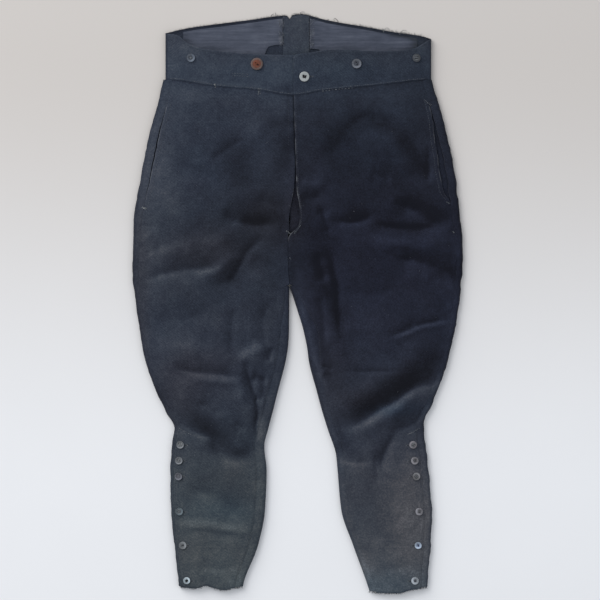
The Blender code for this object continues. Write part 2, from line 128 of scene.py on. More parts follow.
# ---- how far the front's edge stands off the outseam where a side pocket gapes: y, distance -
POCKET_GAPE = {
    "right": [(168, 0.0), (200, 1.0), (260, 2.0), (336, 0.0)],
    "left": [(168, 0.0), (187, 8.5), (204, 11.5), (229, 10.5), (266, 8.0), (309, 2.0),
             (336, 0.0)],
}

# ---- how high the cloth stands away from the edges: y, height of the outer face ------------
PUFF = [(-490, 10.5), (-400, 12.5), (-300, 13.5), (-235, 15), (-190, 20), (-120, 19),
        (-50, 20), (31, 19.5), (100, 19), (200, 17), (300, 15), (372, 13.5), (482, 12)]

# ---- waistband: x, y ----------------------------------------------------------------------
WAIST_SEAM_FRONT = [(-226, 373), (-200, 371), (-142, 362), (-66, 355), (-7, 346), (38, 353),
                    (125, 362), (217, 372), (226, 372.5)]
WAIST_SEAM_BACK = [(-215, 371.7), (-110, 379), (-13, 388), (110, 379), (218, 371.7)]
BAND_TOP_FRONT = {
    "right": [(-220, 450), (-199, 446), (-184, 434), (-169, 427), (-146, 422), (-122, 419),
              (-94, 416), (-54, 414), (-9, 413), (30, 410)],
    "left": [(-7, 409), (-1, 414), (21, 417), (61, 422), (103, 421), (138, 419), (173, 421),
             (196, 425), (208, 432), (223, 441)],
}

BAND_TOP_BACK = {
    "right": [(-220, 450), (-180, 459), (-130, 465.8), (-77, 472.5), (-28, 479), (-18, 479.5),
              (-13, 474)],
    "left": [(-13, 474), (-8, 480), (8, 482), (23, 479), (47, 472.5), (82, 466), (123, 459),
             (158, 452.5), (203, 446), (223, 441)],
}

BAND_END_X = {"right": 28.0, "left": -6.4}      # the left end laps over the right one
LAP_LIFT = WALL + LAYER_GAP                     # raised by the end that lies under it
LAP_FADE = 60.0
LAP_BY_HEIGHT = [(60, 0.0), (116, 0.15), (250, 0.3), (346, 1.0), (420, 1.0)]

# ---- hems: x, y ---------------------------------------------------------------------------
HEM = {
    "right": [(-198, -471), (-171, -474), (-152, -469.5), (-137, -474), (-121, -477),
              (-109, -474), (-90, -472)],
    "left": [(118, -479), (138, -481.5), (168, -482), (188, -477), (217, -472)],
}

BACK_HEM_SHORTER = 1.5
HEM_NOMINAL, HEM_BLEND = -472.0, 70.0
WAIST_NOMINAL, WAIST_BLEND = 360.0, 70.0

# ---- pieces under the front panels: extent, grid, how much lighter (below 0, painted shade under the front) ---
UNDERLAP_THICKNESS = 1.5
FLY_UNDERLAP = {"left_of_edge": 16.0, "right_of_edge": 24.0, "bottom": 119.0, "top": 340.0,
                "columns": 16, "rows": 80, "lighter": -0.38}
POCKET_BEARER = {"from_edge": 8.5, "to_edge": 46.0, "bottom": 150.0, "top": 350.0,
                 "columns": 14, "rows": 70, "lighter": -0.25}
CALF_STAND = {"from_edge": 7.0, "to_edge": 38.0, "bottom": -462.0, "top": -224.0,
              "columns": 12, "rows": 80, "lighter": -0.1}

# ---- inside of the back waistband -----------------------------------------------------------
LINING_THICKNESS = 1.0
LINING_BELOW_TOP = 5.0
LINING_X = {"right": (-190.0, -24.5), "left": (21.0, 200.0)}
LINING_BOTTOM = {"right": [(-190, 402), (-50, 428), (-24, 431)],
                 "left": [(21, 424), (50, 421), (200, 402)]}
INLAY = {"thickness": 1.5, "left": -23.5, "right": 20.0, "bottom": 400.0, "below_top": 1.5,
         "lighter": 0.26}

# ---- folds of the front: route, half width on its left, on its right, height ----------------
# a height below 0 is a trough with a tight bottom, above 0 a round ridge
FOLDS = {
    "right": [
        # beside the fly, and drags towards its end
        ([(-84, 312), (-56, 276), (-34, 238), (-24, 206)], 18, 18, 2.0),
        ([(-3, 316), (-3, 272), (-2, 230)], 14, 14, -2.4),
        ([(-84, 276), (-120, 254), (-150, 236)], 8, 8, -0.9),
        ([(-206, 232), (-150, 214), (-96, 216)], 16, 16, -0.9),
        ([(-128, 158), (-97, 136), (-62, 130), (-24, 135)], 17, 13, -3.2),
        ([(-72, 178), (-40, 164), (-8, 162)], 11, 12, -1.5),
        # hip and upper thigh
        ([(-246, 80), (-180, 94), (-120, 112), (-82, 127)], 13, 13, 1.5),
        ([(-266, 41), (-222, 48), (-188, 55), (-156, 58), (-122, 67)], 16, 12, -2.8),
        ([(-54, 114), (-78, 92), (-92, 66), (-110, 42), (-142, 20)], 15, 12, -4.0),
        ([(-172, 44), (-142, 49), (-120, 64), (-105, 90)], 11, 11, 1.4),
        ([(-256, 118), (-232, 88)], 6, 6, 0.9),
        ([(-264, 132), (-232, 127)], 5, 5, -0.6),
        ([(-262, 101), (-242, 78)], 5, 5, -0.7),
        ([(-248, -22), (-190, -27), (-126, -18)], 22, 18, -1.0),
        ([(-246, -72), (-200, -74), (-150, -70)], 18, 18, 1.0),
        ([(-40, 12), (-56, -30), (-54, -80)], 10, 10, -0.9),
        ([(-103, 4), (-107, -40), (-112, -94)], 12, 9, -1.2),
        # knee
        ([(-214, -106), (-172, -115), (-130, -119), (-94, -123)], 10, 7, -2.1),
        ([(-182, -124), (-138, -130), (-92, -134)], 7, 7, 0.9),
        ([(-99, -98), (-72, -84), (-48, -72)], 11, 11, 2.2),
        ([(-92, -92), (-79, -126), (-69, -158), (-66, -200), (-72, -240)], 8, 6, -3.0),
        ([(-106, -98), (-95, -130), (-87, -170)], 9, 9, 1.1),
        ([(-78, -123), (-48, -128)], 10, 9, -1.6),
        ([(-72, -158), (-56, -161)], 8, 7, -1.6),
        ([(-42, -72), (-48, -100)], 5, 6, -1.3),
        ([(-234, -120), (-217, -166), (-196, -197), (-168, -215), (-146, -225), (-130, -247),
          (-108, -260), (-72, -263)], 21, 9, -4.0),
        ([(-216, -124), (-170, -158), (-130, -188), (-88, -206)], 22, 22, 2.6),
        ([(-168, -163), (-146, -174), (-126, -190)], 5, 6, -1.0),
        ([(-106, -199), (-82, -208)], 4, 5, -0.8),
        # calf
        ([(-148, -264), (-112, -273), (-74, -271)], 14, 14, 0.5),
        ([(-188, -304), (-148, -316), (-122, -341), (-104, -357), (-78, -364)], 17, 12, -1.7),
        ([(-206, -365), (-150, -369), (-100, -378), (-66, -381)], 8, 8, 1.1),
        ([(-204, -379), (-160, -379), (-130, -382), (-100, -388), (-72, -395)], 5, 9, -0.5),
        ([(-172, -434), (-130, -442), (-98, -436)], 9, 9, -0.6),
    ],
    "left": [
        # arch over the hip
        ([(20, 232), (48, 248), (68, 270), (84, 292)], 14, 14, -0.5),
        ([(70, 280), (86, 297), (106, 308), (130, 307), (156, 295), (176, 272)], 15, 18, -1.7),
        ([(176, 290), (194, 266), (206, 240), (216, 216), (222, 192)], 13, 12, -1.0),
        ([(96, 268), (130, 262), (166, 244), (192, 206)], 24, 24, 1.6),
        ([(217, 266), (219, 230), (217, 196)], 8, 5, -1.3),
        ([(0, 196), (24, 194), (52, 198)], 10, 10, 1.2),
        ([(4, 180), (22, 174), (44, 180)], 9, 10, -1.0),
        ([(118, 214), (160, 208)], 14, 14, -0.9),
        # upper thigh
        ([(154, 170), (190, 154), (214, 142), (258, 128)], 13, 12, -4.2),
        ([(50, 141), (84, 133), (112, 137), (134, 152)], 11, 10, -2.4),
        ([(118, 131), (156, 126), (194, 123), (236, 127)], 9, 9, -2.8),
        ([(90, 106), (150, 99), (210, 95), (262, 98)], 11, 11, 2.2),
        ([(158, 75), (200, 71), (226, 60), (243, 44), (252, 20)], 10, 13, -3.2),
        ([(176, 52), (232, 42)], 18, 18, 0.9),
        ([(36, 166), (48, 136), (56, 108)], 7, 7, -1.7),
        ([(33, 88), (40, 60), (49, 30)], 6, 9, -2.6),
        ([(48, 98), (58, 62), (66, 24), (71, -20), (73, -84)], 11, 7, -2.6),
        ([(46, 80), (54, 48), (60, 14)], 5, 5, 0.6),
        ([(42, 24), (43, -30), (48, -70)], 8, 8, -1.5),
        ([(70, 22), (120, 14), (176, 24)], 12, 12, -0.9),
        ([(144, -59), (180, -46), (204, -35), (232, -31), (260, -26)], 8, 5, -1.8),
        ([(146, -66), (182, -52), (206, -41), (254, -36)], 5, 5, 0.7),
        # knee
        ([(68, -109), (90, -114), (124, -114), (180, -112)], 5, 6, -0.9),
        ([(41, -103), (59, -111)], 3, 4, -0.9),
        ([(43, -117), (61, -122)], 3, 4, -0.9),
        ([(60, -203), (98, -196), (122, -184), (146, -170), (170, -157), (196, -143),
          (226, -131), (250, -96)], 26, 12, -5.0),
        ([(70, -215), (104, -208), (132, -195), (160, -178), (190, -157), (228, -138)],
          14, 14, 1.4),
        ([(79, -161), (138, -136), (188, -102), (231, -56)], 23, 23, 2.6),
        ([(146, -216), (180, -206), (203, -190), (224, -158)], 13, 11, -2.0),
        ([(170, -208), (156, -226), (146, -250), (138, -286)], 12, 10, -1.9),
        ([(58, -236), (80, -258), (106, -263), (132, -262)], 15, 7, -2.2),
        ([(70, -262), (88, -265), (108, -266)], 8, 8, 0.4),
        # calf
        ([(136, -244), (131, -270), (139, -306)], 12, 10, -1.3),
        ([(86, -370), (112, -388), (144, -406)], 12, 9, -0.8),
        ([(172, -354), (198, -374)], 14, 14, 0.4),
        ([(132, -436), (160, -441), (196, -430)], 9, 9, -0.6),
    ],
}

FOLD_FADE = 0.3         # share of a fold's length over which each end dies away

# ---- creases pressed into the underside: route, half width, depth ---------------------------
UNDER_CREASES = {
    "right": [
        ([(-230, 300), (-150, 262), (-60, 270)], 12, 1.6),
        ([(-250, 196), (-170, 168), (-70, 180)], 10, 1.4),
        ([(-262, 90), (-200, 66), (-120, 84)], 9, 1.8),
        ([(-236, 8), (-160, 22), (-76, -6)], 11, 1.2),
        ([(-230, -66), (-150, -84), (-66, -70)], 10, 1.6),
        ([(-206, -122), (-140, -140), (-72, -132)], 8, 1.9),
        ([(-188, -160), (-130, -186), (-84, -190)], 8, 2.0),
        ([(-184, -212), (-130, -226), (-76, -218)], 7, 1.7),
        ([(-176, -300), (-130, -312), (-84, -300)], 9, 1.0),
        ([(-170, -390), (-128, -384), (-96, -396)], 8, 1.1),
    ],
    "left": [
        ([(60, 286), (140, 262), (226, 292)], 12, 1.5),
        ([(50, 204), (150, 186), (246, 206)], 11, 1.3),
        ([(70, 112), (160, 94), (252, 116)], 9, 1.8),
        ([(60, 30), (140, 8), (230, 26)], 11, 1.2),
        ([(70, -58), (150, -78), (228, -56)], 10, 1.5),
        ([(80, -118), (140, -136), (204, -122)], 8, 1.9),
        ([(88, -164), (140, -184), (194, -170)], 8, 2.0),
        ([(92, -210), (140, -226), (186, -214)], 7, 1.6),
        ([(100, -310), (150, -300), (196, -312)], 9, 1.0),
        ([(128, -398), (160, -388), (196, -400)], 8, 1.1),
    ],
}

# ---- fading, colour, and painted light and shade of the wool --------------------------------
FADE_AND_LIGHT = {                # how much lighter, by height: fading, with painted light and shade of the uneven light over the legs
    "right": [(-480, 0.42), (-400, 0.37), (-300, 0.32), (-230, 0.17), (-100, 0.04), (-20, 0.0),
              (60, 0.03), (120, -0.05), (210, -0.02), (330, 0.06), (420, 0.02)],
    "left": [(-480, 0.56), (-400, 0.42), (-300, 0.31), (-225, 0.19), (-180, 0.0), (-100, -0.11),
             (-20, -0.20), (60, -0.29), (150, -0.35), (230, -0.32), (290, -0.25), (325, -0.10),
             (440, -0.11)],
}

TINT = {                # 1 is towards grey green, -1 towards blue violet, by height
    "right": [(-480, 0.35), (-300, 0.3), (-230, 0.1), (-100, -0.1), (60, 0.0), (130, 0.0),
              (210, -0.1), (480, -0.1)],
    "left": [(-480, 0.1), (-300, 0.0), (-230, -0.1), (-160, -0.1), (-60, -0.4), (80, -0.7),
             (200, -0.4), (300, -0.15), (480, 0.1)],
}

PAINTED_LIGHT_PATCHES = {              # painted light and shade of the folds, with some fading; patches: x, y, reach across, reach along, lighter by
    "right": [
        (-60, 104, 60, 60, -0.18), (-240, 210, 40, 170, 0.16), (-150, 350, 80, 18, 0.19),
        (-14, 262, 16, 34, -0.12), (-56, 156, 56, 20, -0.10), (-200, 250, 40, 70, 0.06),
        (-150, -204, 30, 16, -0.08), (-26, -30, 14, 80, 0.12), (-52, -160, 12, 60, 0.12),
        (-74, -96, 18, 10, 0.08), (-60, -124, 14, 9, -0.08), (-206, -214, 24, 8, 0.10),
        (-20, 106, 12, 16, -0.12), (-186, -150, 30, 30, -0.06), (-230, 0, 40, 120, 0.06),
        (-120, -420, 60, 50, 0.02), (-254, 140, 20, 150, 0.10), (-200, 320, 40, 40, 0.07),
        (-192, 190, 44, 46, 0.15), (-40, 172, 44, 46, -0.11), (-26, 116, 18, 26, -0.08),
        (-106, 244, 26, 36, -0.08), (-74, -91, 13, 9, 0.26), (-84, 250, 28, 24, -0.13),
        (-56, -234, 9, 34, 0.18), (-94, -360, 16, 12, -0.10), (-158, 34, 26, 7, -0.04),
        (-118, -114, 24, 9, -0.20), (-212, -142, 12, 30, -0.10), (-34, -131, 9, 18, 0.20),
        (-80, -99, 12, 26, 0.15), (-109, 33, 20, 12, -0.16), (-20, 356, 17, 9, -0.22),
        (-116, -204, 18, 12, 0.13), (-70, -244, 12, 14, 0.12), (-168, 38, 32, 10, 0.10),
        (-100, 190, 24, 40, -0.10), (-106, -70, 15, 15, -0.12), (-44, -162, 8, 18, 0.13),
        (-59, -82, 9, 9, 0.13), (-139, 68, 16, 13, -0.12), (-98, -240, 20, 16, -0.18),
        (-194, -186, 14, 14, -0.12), (-100, -248, 20, 9, -0.12), (-200, -280, 20, 90, 0.08),
        (-175, -76, 46, 16, 0.14),
    ],
    "left": [
        (28, 200, 40, 80, -0.01), (34, 62, 8, 24, -0.10), (28, 118, 18, 22, -0.10),
        (102, 148, 22, 12, -0.10), (168, 130, 30, 7, -0.06), (92, -240, 18, 16, -0.06),
        (18, 168, 14, 14, -0.08), (230, 76, 30, 9, -0.10), (150, 250, 60, 40, 0.04),
        (20, 300, 30, 20, 0.08), (110, -440, 26, 40, 0.06), (200, -380, 36, 90, 0.08),
        (190, -270, 34, 34, 0.10), (234, 300, 14, 44, 0.10), (256, -10, 14, 60, 0.12),
        (204, 352, 30, 16, 0.04), (110, 348, 90, 10, 0.10), (196, -240, 30, 24, 0.03),
        (116, 293, 24, 9, -0.12), (124, -464, 16, 14, -0.18), (78, 186, 15, 28, 0.12),
        (230, 142, 20, 9, -0.13), (222, 222, 10, 24, -0.08), (257, 230, 9, 40, 0.10),
        (188, 124, 38, 8, -0.20), (246, 60, 14, 12, -0.14), (196, -206, 28, 8, -0.10),
        (204, 172, 16, 9, -0.07), (250, 108, 18, 8, 0.13), (266, 92, 8, 26, 0.20),
        (255, 49, 12, 18, -0.28), (4, 30, 8, 26, 0.14), (14, -8, 8, 20, 0.14),
        (216, -171, 22, 12, 0.16), (211, 159, 20, 14, -0.15), (119, -119, 34, 11, -0.14),
        (63, -194, 12, 18, -0.14), (98, 61, 22, 28, -0.12), (151, 209, 20, 30, -0.12),
        (116, -271, 30, 11, -0.10), (188, -144, 12, 9, -0.10), (81, 294, 12, 18, 0.10),
        (129, -184, 14, 9, -0.10), (48, 44, 13, 24, -0.14), (51, -126, 12, 12, -0.14),
        (81, -226, 13, 15, -0.13), (224, -150, 9, 7, 0.14), (53, 120, 15, 22, -0.16),
        (130, 108, 14, 8, 0.07), (230, -86, 24, 24, -0.26), (144, -266, 34, 34, -0.13),
        (204, -372, 18, 16, 0.06), (20, 350, 60, 16, 0.03), (76, 240, 16, 14, 0.06),
    ],
}

PAINTED_LIGHT_STREAKS = {             # painted light and shade along the folds, the same along a line: route, half width, lighter by
    "right": [
        ([(-116, 34), (-90, 54), (-74, 74), (-60, 92)], 13, -0.30),
        ([(-104, 140), (-60, 134), (-16, 140)], 15, -0.26),
        ([(-46, 316), (-30, 290), (-18, 250), (-12, 220)], 10, -0.12),
        ([(-15, 372), (-16, 330), (-17, 290)], 4, -0.16),
        ([(-132, 262), (-110, 226), (-92, 190)], 28, -0.16),
        ([(-180, 50), (-136, 57), (-110, 68)], 6, 0.11),
        ([(-254, 84), (-200, 86), (-158, 94), (-108, 106)], 11, 0.18),
        ([(-188, -172), (-150, -206), (-108, -246), (-84, -246), (-74, -212)], 12, -0.24),
        ([(-60, -112), (-60, -160), (-62, -206)], 8, -0.27),
        ([(-178, -284), (-140, -306), (-90, -346)], 11, -0.07),
        ([(-206, -366), (-140, -373), (-72, -381)], 7, 0.14),
    ],
    "left": [
        ([(30, 240), (50, 252), (69, 272), (86, 292), (106, 303), (130, 303), (156, 292),
          (176, 267), (200, 236), (217, 210), (226, 186)], 14, -0.24),
        ([(36, 116), (46, 60), (60, 8), (70, -40), (80, -96)], 22, -0.16),
        ([(80, -104), (74, -40), (72, 4)], 7, -0.12),
        ([(172, 180), (214, 160), (258, 138)], 13, -0.14),
        ([(104, 93), (180, 91), (266, 91)], 9, 0.21),
        ([(66, -198), (110, -176), (142, -146), (178, -112), (214, -66)], 16, -0.18),
        ([(250, -56), (240, -110), (222, -152)], 13, 0.22),
        ([(150, -182), (190, -163), (228, -146)], 10, 0.04),
        ([(150, -152), (190, -131), (232, -116)], 8, -0.10),
        ([(34, -40), (45, -80), (57, -128)], 8, -0.13),
        ([(140, 126), (180, 121), (214, 124)], 6, -0.12),
        ([(64, -204), (76, -232), (100, -254)], 10, -0.12),
        ([(2, 26), (12, -31), (31, -95), (51, -157)], 6, 0.26),
        ([(186, 126), (214, 127), (246, 133)], 6, -0.14),
    ],
}

WARMTH = [              # patches of browner cloth, or of more teal below 0, as in PAINTED_LIGHT_PATCHES
    (-262, 0, 16, 200, 0.6), (-200, 90, 60, 30, 0.4), (-140, 90, 50, 30, 0.8),
    (-190, -140, 40, 50, 0.9), (-150, -100, 50, 24, 0.6), (-52, 140, 34, 44, 0.7),
    (-120, -280, 34, 24, 0.15), (180, -126, 60, 30, 0.3), (150, -176, 60, 12, -0.8),
    (-6, 150, 14, 44, 0.6), (104, -165, 40, 24, 0.7), (172, -320, 100, 110, 0.6),
    (60, -110, 30, 60, 0.5), (150, -470, 70, 26, -0.8), (-130, -345, 60, 24, -0.6),
    (-110, -460, 70, 26, -0.2), (0, 380, 260, 34, -0.5), (-150, 250, 60, 70, -0.2),
    (120, 270, 80, 60, -0.4),
]

LINING_CUT = {          # lower edge of each half of the lining: x, y
    "right": [(-190, 402), (-62, 406), (-54, 416), (-48, 428), (-24, 432)],
    "left": [(21, 425), (36, 423), (44, 411), (200, 402)],
}

EDGE_WAVES = {"right": 0.6, "left": 1.0}     # how wavy the folded outer edges are
SLOPE_SHADE = 0.55              # painted shade: how much darker a slope that faces away from the light is made
# the way away from the light, across and along
AWAY_FROM_LIGHT = (0.68, -0.73)
UNDULATIONS = [
    # pitch across, pitch along, turned by degrees, height
    (46, 74, 24, 0.75),
    (24, 40, -32, 0.34),
    (11, 15, 10, 0.13),
]

# ---- grids of the panels, and how uneven things are -----------------------------------------
LINING_RIPPLE = 0.35
NEAR_EDGE = np.cumsum((0.0, 0.7, 1.0, 1.4, 1.9, 2.4))   # columns and rows beside an edge
ROW_STEP, BAND_STEP, LINING_STEP = 2.6, 2.7, 2.4        # and away from it, on each panel
FRONT_COLUMNS, BACK_COLUMNS, STRIP_COLUMNS, ROLL_COLUMNS = 74, 58, 7, 9
EDGE_RIPPLES = [(0.9, 17.0, 31), (0.45, 6.0, 32)]       # of a folded edge: height, pitch, seed
HILL_COUNTS = (61, 67)              # of the uneven hills, before they come round again
BAND_LIGHTER = 0.18                 # the waistband's front is paler than the legs
# how worn the left front's edge is along the fly: y, strength
FLY_WORN = [(100, 0.62), (182, 0.60), (210, 0.74), (250, 0.70), (290, 0.45), (340, 0.36)]


# ---------------------------------------------------------------------------- curves and maps
def ease(t):
    """0 to 1 with level ends."""
    t = np.clip(t, 0.0, 1.0)
    return t * t * (3.0 - 2.0 * t)


def bell(distance, reach):
    """1 at no distance, and next to nothing two reaches away."""
    return np.exp(-(distance / reach) ** 2)


def points_at(*axes):
    return np.stack(np.broadcast_arrays(*axes), axis=-1)


def unit(vectors):
    return vectors / np.maximum(np.linalg.norm(vectors, axis=-1, keepdims=True), 1e-9)


def curve(table, at):
    """Smooth curve through the rows (position, value); it never swings past a row."""
    place, value = np.array(table, float).T
    slope = np.diff(value) / np.diff(place)
    before, after = slope[:-1], slope[1:]
    same_way = before * after > 0.0
    both = np.where(same_way, before + after, 1.0)
    inner = np.where(same_way, 2.0 * before * after / both, 0.0)
    tangent = np.concatenate([slope[:1], inner, slope[-1:]])
    at = np.clip(np.asarray(at, float), place[0], place[-1])
    k = np.clip(np.searchsorted(place, at, side="right") - 1, 0, len(place) - 2)
    span = place[k + 1] - place[k]
    t = (at - place[k]) / span
    return (value[k] + (value[k + 1] - value[k]) * t * t * (3.0 - 2.0 * t)
            + span * t * (1.0 - t) * (tangent[k] * (1.0 - t) - tangent[k + 1] * t))


def rounded_route(route, steps=5):
    """The route's points with a smooth curve led through them."""
    points = np.array(route, float)
    if len(points) < 3:
        return points
    ends = np.vstack([2 * points[0] - points[1], points, 2 * points[-1] - points[-2]])
    t = np.linspace(0.0, 1.0, steps, endpoint=False)[:, None]
    parts = []
    for a, b, c, d in zip(ends, ends[1:], ends[2:], ends[3:]):
        parts.append(0.5 * (2 * b + (c - a) * t + (2 * a - 5 * b + 4 * c - d) * t ** 2
                            + (3 * b - a - 3 * c + d) * t ** 3))
    return np.vstack(parts + [points[-1:]])


def beside_route(route, x, y):
    """Distance from a route, more than 0 on its left, and the share of it passed there."""
    points = rounded_route(route)
    runs = np.diff(points, axis=0)
    lengths = np.hypot(*runs.T)
    best = np.full(np.shape(x), 1e9)
    share = np.zeros(np.shape(x))
    done = 0.0
    for (ax, ay), (dx, dy), length in zip(points, runs, lengths):
        t = np.clip(((x - ax) * dx + (y - ay) * dy) / length ** 2, 0.0, 1.0)
        off_x, off_y = x - ax - t * dx, y - ay - t * dy
        away = np.hypot(off_x, off_y) * np.where(dx * off_y - dy * off_x < 0.0, -1.0, 1.0)
        nearer = np.abs(away) < np.abs(best)
        best = np.where(nearer, away, best)
        share = np.where(nearer, (done + t * length) / lengths.sum(), share)
        done += length
    return best, share


def hills(x, y, pitch, seed):
    """Smooth uneven hills between -1 and 1, about one pitch apart."""
    m, n = HILL_COUNTS
    heights = np.random.default_rng(seed).uniform(-1.0, 1.0, (m, n))
    u, v = np.asarray(x, float) / pitch + 500.0, np.asarray(y, float) / pitch + 500.0
    i, j = np.floor(u).astype(int), np.floor(v).astype(int)
    s, t = u - i, v - j
    s, t = s ** 3 * (s * (6 * s - 15) + 10), t ** 3 * (t * (6 * t - 15) + 10)
    a, b = heights[i % m, j % n], heights[(i + 1) % m, j % n]
    c, d = heights[i % m, (j + 1) % n], heights[(i + 1) % m, (j + 1) % n]
    return (a + (b - a) * s) * (1 - t) + (c + (d - c) * s) * t


def turned_hills(x, y, across, along, degrees, seed):
    """Hills drawn out along a direction."""
    c, s = math.cos(math.radians(degrees)), math.sin(math.radians(degrees))
    return hills((x * c + y * s) / across, (y * c - x * s) / along, 1.0, seed)


LATTICE = (-300.0, -510.0, 2.0)     # corner and step of the points where folds are worked out


def lattice_points():
    left, low, step = LATTICE
    return np.meshgrid(np.arange(left, -left, step), np.arange(low, -low, step))


def strokes(rows, wobble, pitch, seed, fade):
    """Each row of a table of routes on the lattice: its number, its sizes, its mean half
    width, the uneven distance from its route and how far it fades at its ends."""
    x, y = lattice_points()
    for number, (route, *sizes) in enumerate(rows):
        width = 0.5 * (sizes[0] + sizes[-2])
        away, share = beside_route(route, x, y)
        away = away + wobble * width * hills(x, y, pitch * width, seed + number)
        yield number, sizes, width, away, ease(np.minimum(share, 1.0 - share) / fade)


def soft_strokes(rows, **uneven):
    """Sum of soft streaks: route, half width, strength."""
    return sum(strength * faded * bell(away, width)
               for _, (_, strength), width, away, faded in strokes(rows, **uneven))


@functools.lru_cache(maxsize=None)
def fold_lattice(side):
    """The folds and creases of a front on a lattice, each uneven along its length."""
    x, y = lattice_points()
    total = np.zeros(np.shape(x))
    for number, (left, right, high), mean, away, faded in strokes(
            FOLDS[side], wobble=0.22, pitch=2.6, seed=300, fade=FOLD_FADE):
        from_route = away / (right + (left - right) * ease(0.5 + away / mean))
        if high < 0.0:
            form = np.exp(-1.3 * (np.hypot(from_route, 0.35) - 0.35))
        else:
            form = bell(from_route, 1.0)
        total += high * faded * (1.0 + 0.25 * hills(x, y, 3.0 * mean, 400 + number)) * form
    return total


@functools.lru_cache(maxsize=None)
def crease_lattice(side):
    """The creases of the underside on the same lattice."""
    return soft_strokes(UNDER_CREASES[side], wobble=0.4, pitch=2.4, seed=500, fade=0.35)


def patches(rows, x, y):
    """Sum of soft round patches: x, y, reach across, reach along, strength."""
    return sum(strength * np.exp(-((x - at_x) / across) ** 2 - ((y - at_y) / along) ** 2)
               for at_x, at_y, across, along, strength in rows)


@functools.lru_cache(maxsize=None)
def shade_lattice(side):
    """Patches and streaks of painted light and shade, with some fading, on the same lattice."""
    streaks = soft_strokes(PAINTED_LIGHT_STREAKS[side], wobble=0.3, pitch=2.0, seed=600, fade=0.2)
    return patches(PAINTED_LIGHT_PATCHES[side], *lattice_points()) + streaks


def on_lattice(field, x, y):
    """A lattice's value between its points."""
    left, low, step = LATTICE
    u, v = (x - left) / step, (y - low) / step
    i = np.clip(np.floor(u).astype(int), 0, field.shape[1] - 2)
    j = np.clip(np.floor(v).astype(int), 0, field.shape[0] - 2)
    s, t = u - i, v - j
    low_row = field[j, i] * (1 - s) + field[j, i + 1] * s
    high_row = field[j + 1, i] * (1 - s) + field[j + 1, i + 1] * s
    return low_row * (1 - t) + high_row * t


def fold_field(side, x, y):
    return on_lattice(fold_lattice(side), x, y)


def undulation(x, y):
    return sum(high * turned_hills(x, y, across, along, degrees, 20 + k)
               for k, (across, along, degrees, high) in enumerate(UNDULATIONS))


def rise(distance):
    """Share of the full height reached at a distance from a folded edge."""
    return np.sin(0.5 * np.pi * np.clip((distance - ROLL) / DOME, 0.0, 1.0))


def outer_x(side, y):
    """X of a leg's folded outer edge."""
    last = OUTER[side][-1][0]
    y = np.asarray(y, float)
    wavy = sum(high * hills(y, 0.0 * y, pitch, seed) for high, pitch, seed in EDGE_RIPPLES)
    wavy = wavy * ease((last - y) / 20.0) * ease((y + 470.0) / 20.0) * EDGE_WAVES[side]
    return np.where(y > last, BAND_FOLD_X[side], curve(OUTER[side], y) + wavy)


def outseam_x(side, y):
    return outer_x(side, y) + INWARDS[side] * curve(OUTSEAM[side], y)


def inseam_x(side, y):
    return curve(INNER[side], y) - INWARDS[side] * curve(INSEAM[side], y)


def lap_lift(side, x, y):
    """How far the left side is raised where it laps over the right one."""
    if side == "right":
        return np.zeros(np.shape(x))
    share = 1.0 - ease((x - BAND_END_X["right"]) / LAP_FADE)
    return LAP_LIFT * share * curve(LAP_BY_HEIGHT, y)


def height(side, x, y):
    """Height of the front's outer face, without what its seams add."""
    from_outer = rise(np.abs(x - outer_x(side, y)))
    from_inner = rise((curve(INNER[side], y) - x) * INWARDS[side])
    open_above = ease((y - CROTCH_Y) / CROTCH_VALLEY)
    share = from_outer * (from_inner + (1.0 - from_inner) * open_above)
    calm = 1.0 - 0.75 * ease((y - 340.0) / 20.0)
    soft = 1.12 * fold_field(side, x, y) + undulation(x, y) * calm
    stand = curve(PUFF, y) - 2.0 * ROLL + soft
    return (2.0 * ROLL + share * stand + 0.2 * ease(share * 3.0) * soft
            + lap_lift(side, x, y))


def centre_seam(x, y, reach):
    """1 along the seam down the middle of the back, 0 away from it."""
    return (y > CROTCH_Y) * bell(x - CENTRE_BACK_X, reach)


def underside(side, x, y):
    """Height of the underside above the table: creases that rise out of a flat lie."""
    inwards = INWARDS[side]
    inner = np.where(y > CROTCH_Y, CENTRE_BACK_X + inwards * 30.0, curve(INNER[side], y))
    edge = np.minimum(np.abs(x - outer_x(side, y)), (inner - x) * inwards)
    total = (on_lattice(crease_lattice(side), x, y)
             + np.clip(undulation(x + 700.0, y), 0.0, None) * 0.6)
    return total * ease((edge - ROLL) / 30.0) + 0.5 * centre_seam(x, y, 1.8)


# ------------------------------------------------------------ edges of the front panels
# seams from 0 where they are open to 1 where they are sewn: y, sewn
SEWN_OUTSEAM = [(-214, 0.0), (-200, 1.0), (160, 1.0), (172, 0.0), (332, 0.0), (344, 1.0)]
SEWN_STRIP = SEWN_OUTSEAM[:2]
SEWN_CENTRE = [(28, 1.0), (96, 1.0), (106, 0.0)]
FLY_STEP = {"right": -0.75, "left": 0.45}       # how far a front's edge stands up at the fly
# stretches of an edge: low end, over which it eases in, high end, over which it eases out
FLY_STEP_SPAN = (104.0, 20.0, 352.0, 14.0)
FLY_WORN_SPAN = (96.0, 14.0, 358.0, 10.0)
POCKET_WORN_SPAN = (158.0, 10.0, 346.0, 12.0)


def within(span, y):
    low, ease_in, high, ease_out = span
    return ease((y - low) / ease_in) * ease((high - y) / ease_out)


def panel_edges(side, y, level=None):
    """X of a front panel's outseam edge and of its inseam or centre edge, which changes
    over where the level row passes the crotch."""
    inwards = INWARDS[side]
    start = outer_x(side, y) + inwards * (curve(OUTSEAM[side], y) + SEAM_GAP
                                          + curve(POCKET_GAPE[side], y))
    inseam = curve(INNER[side], y) - inwards * (curve(INSEAM[side], y) + SEAM_GAP)
    above = (y if level is None else level) > CROTCH_Y
    return start, np.where(above, curve(CENTRE_FRONT[side], y), inseam)


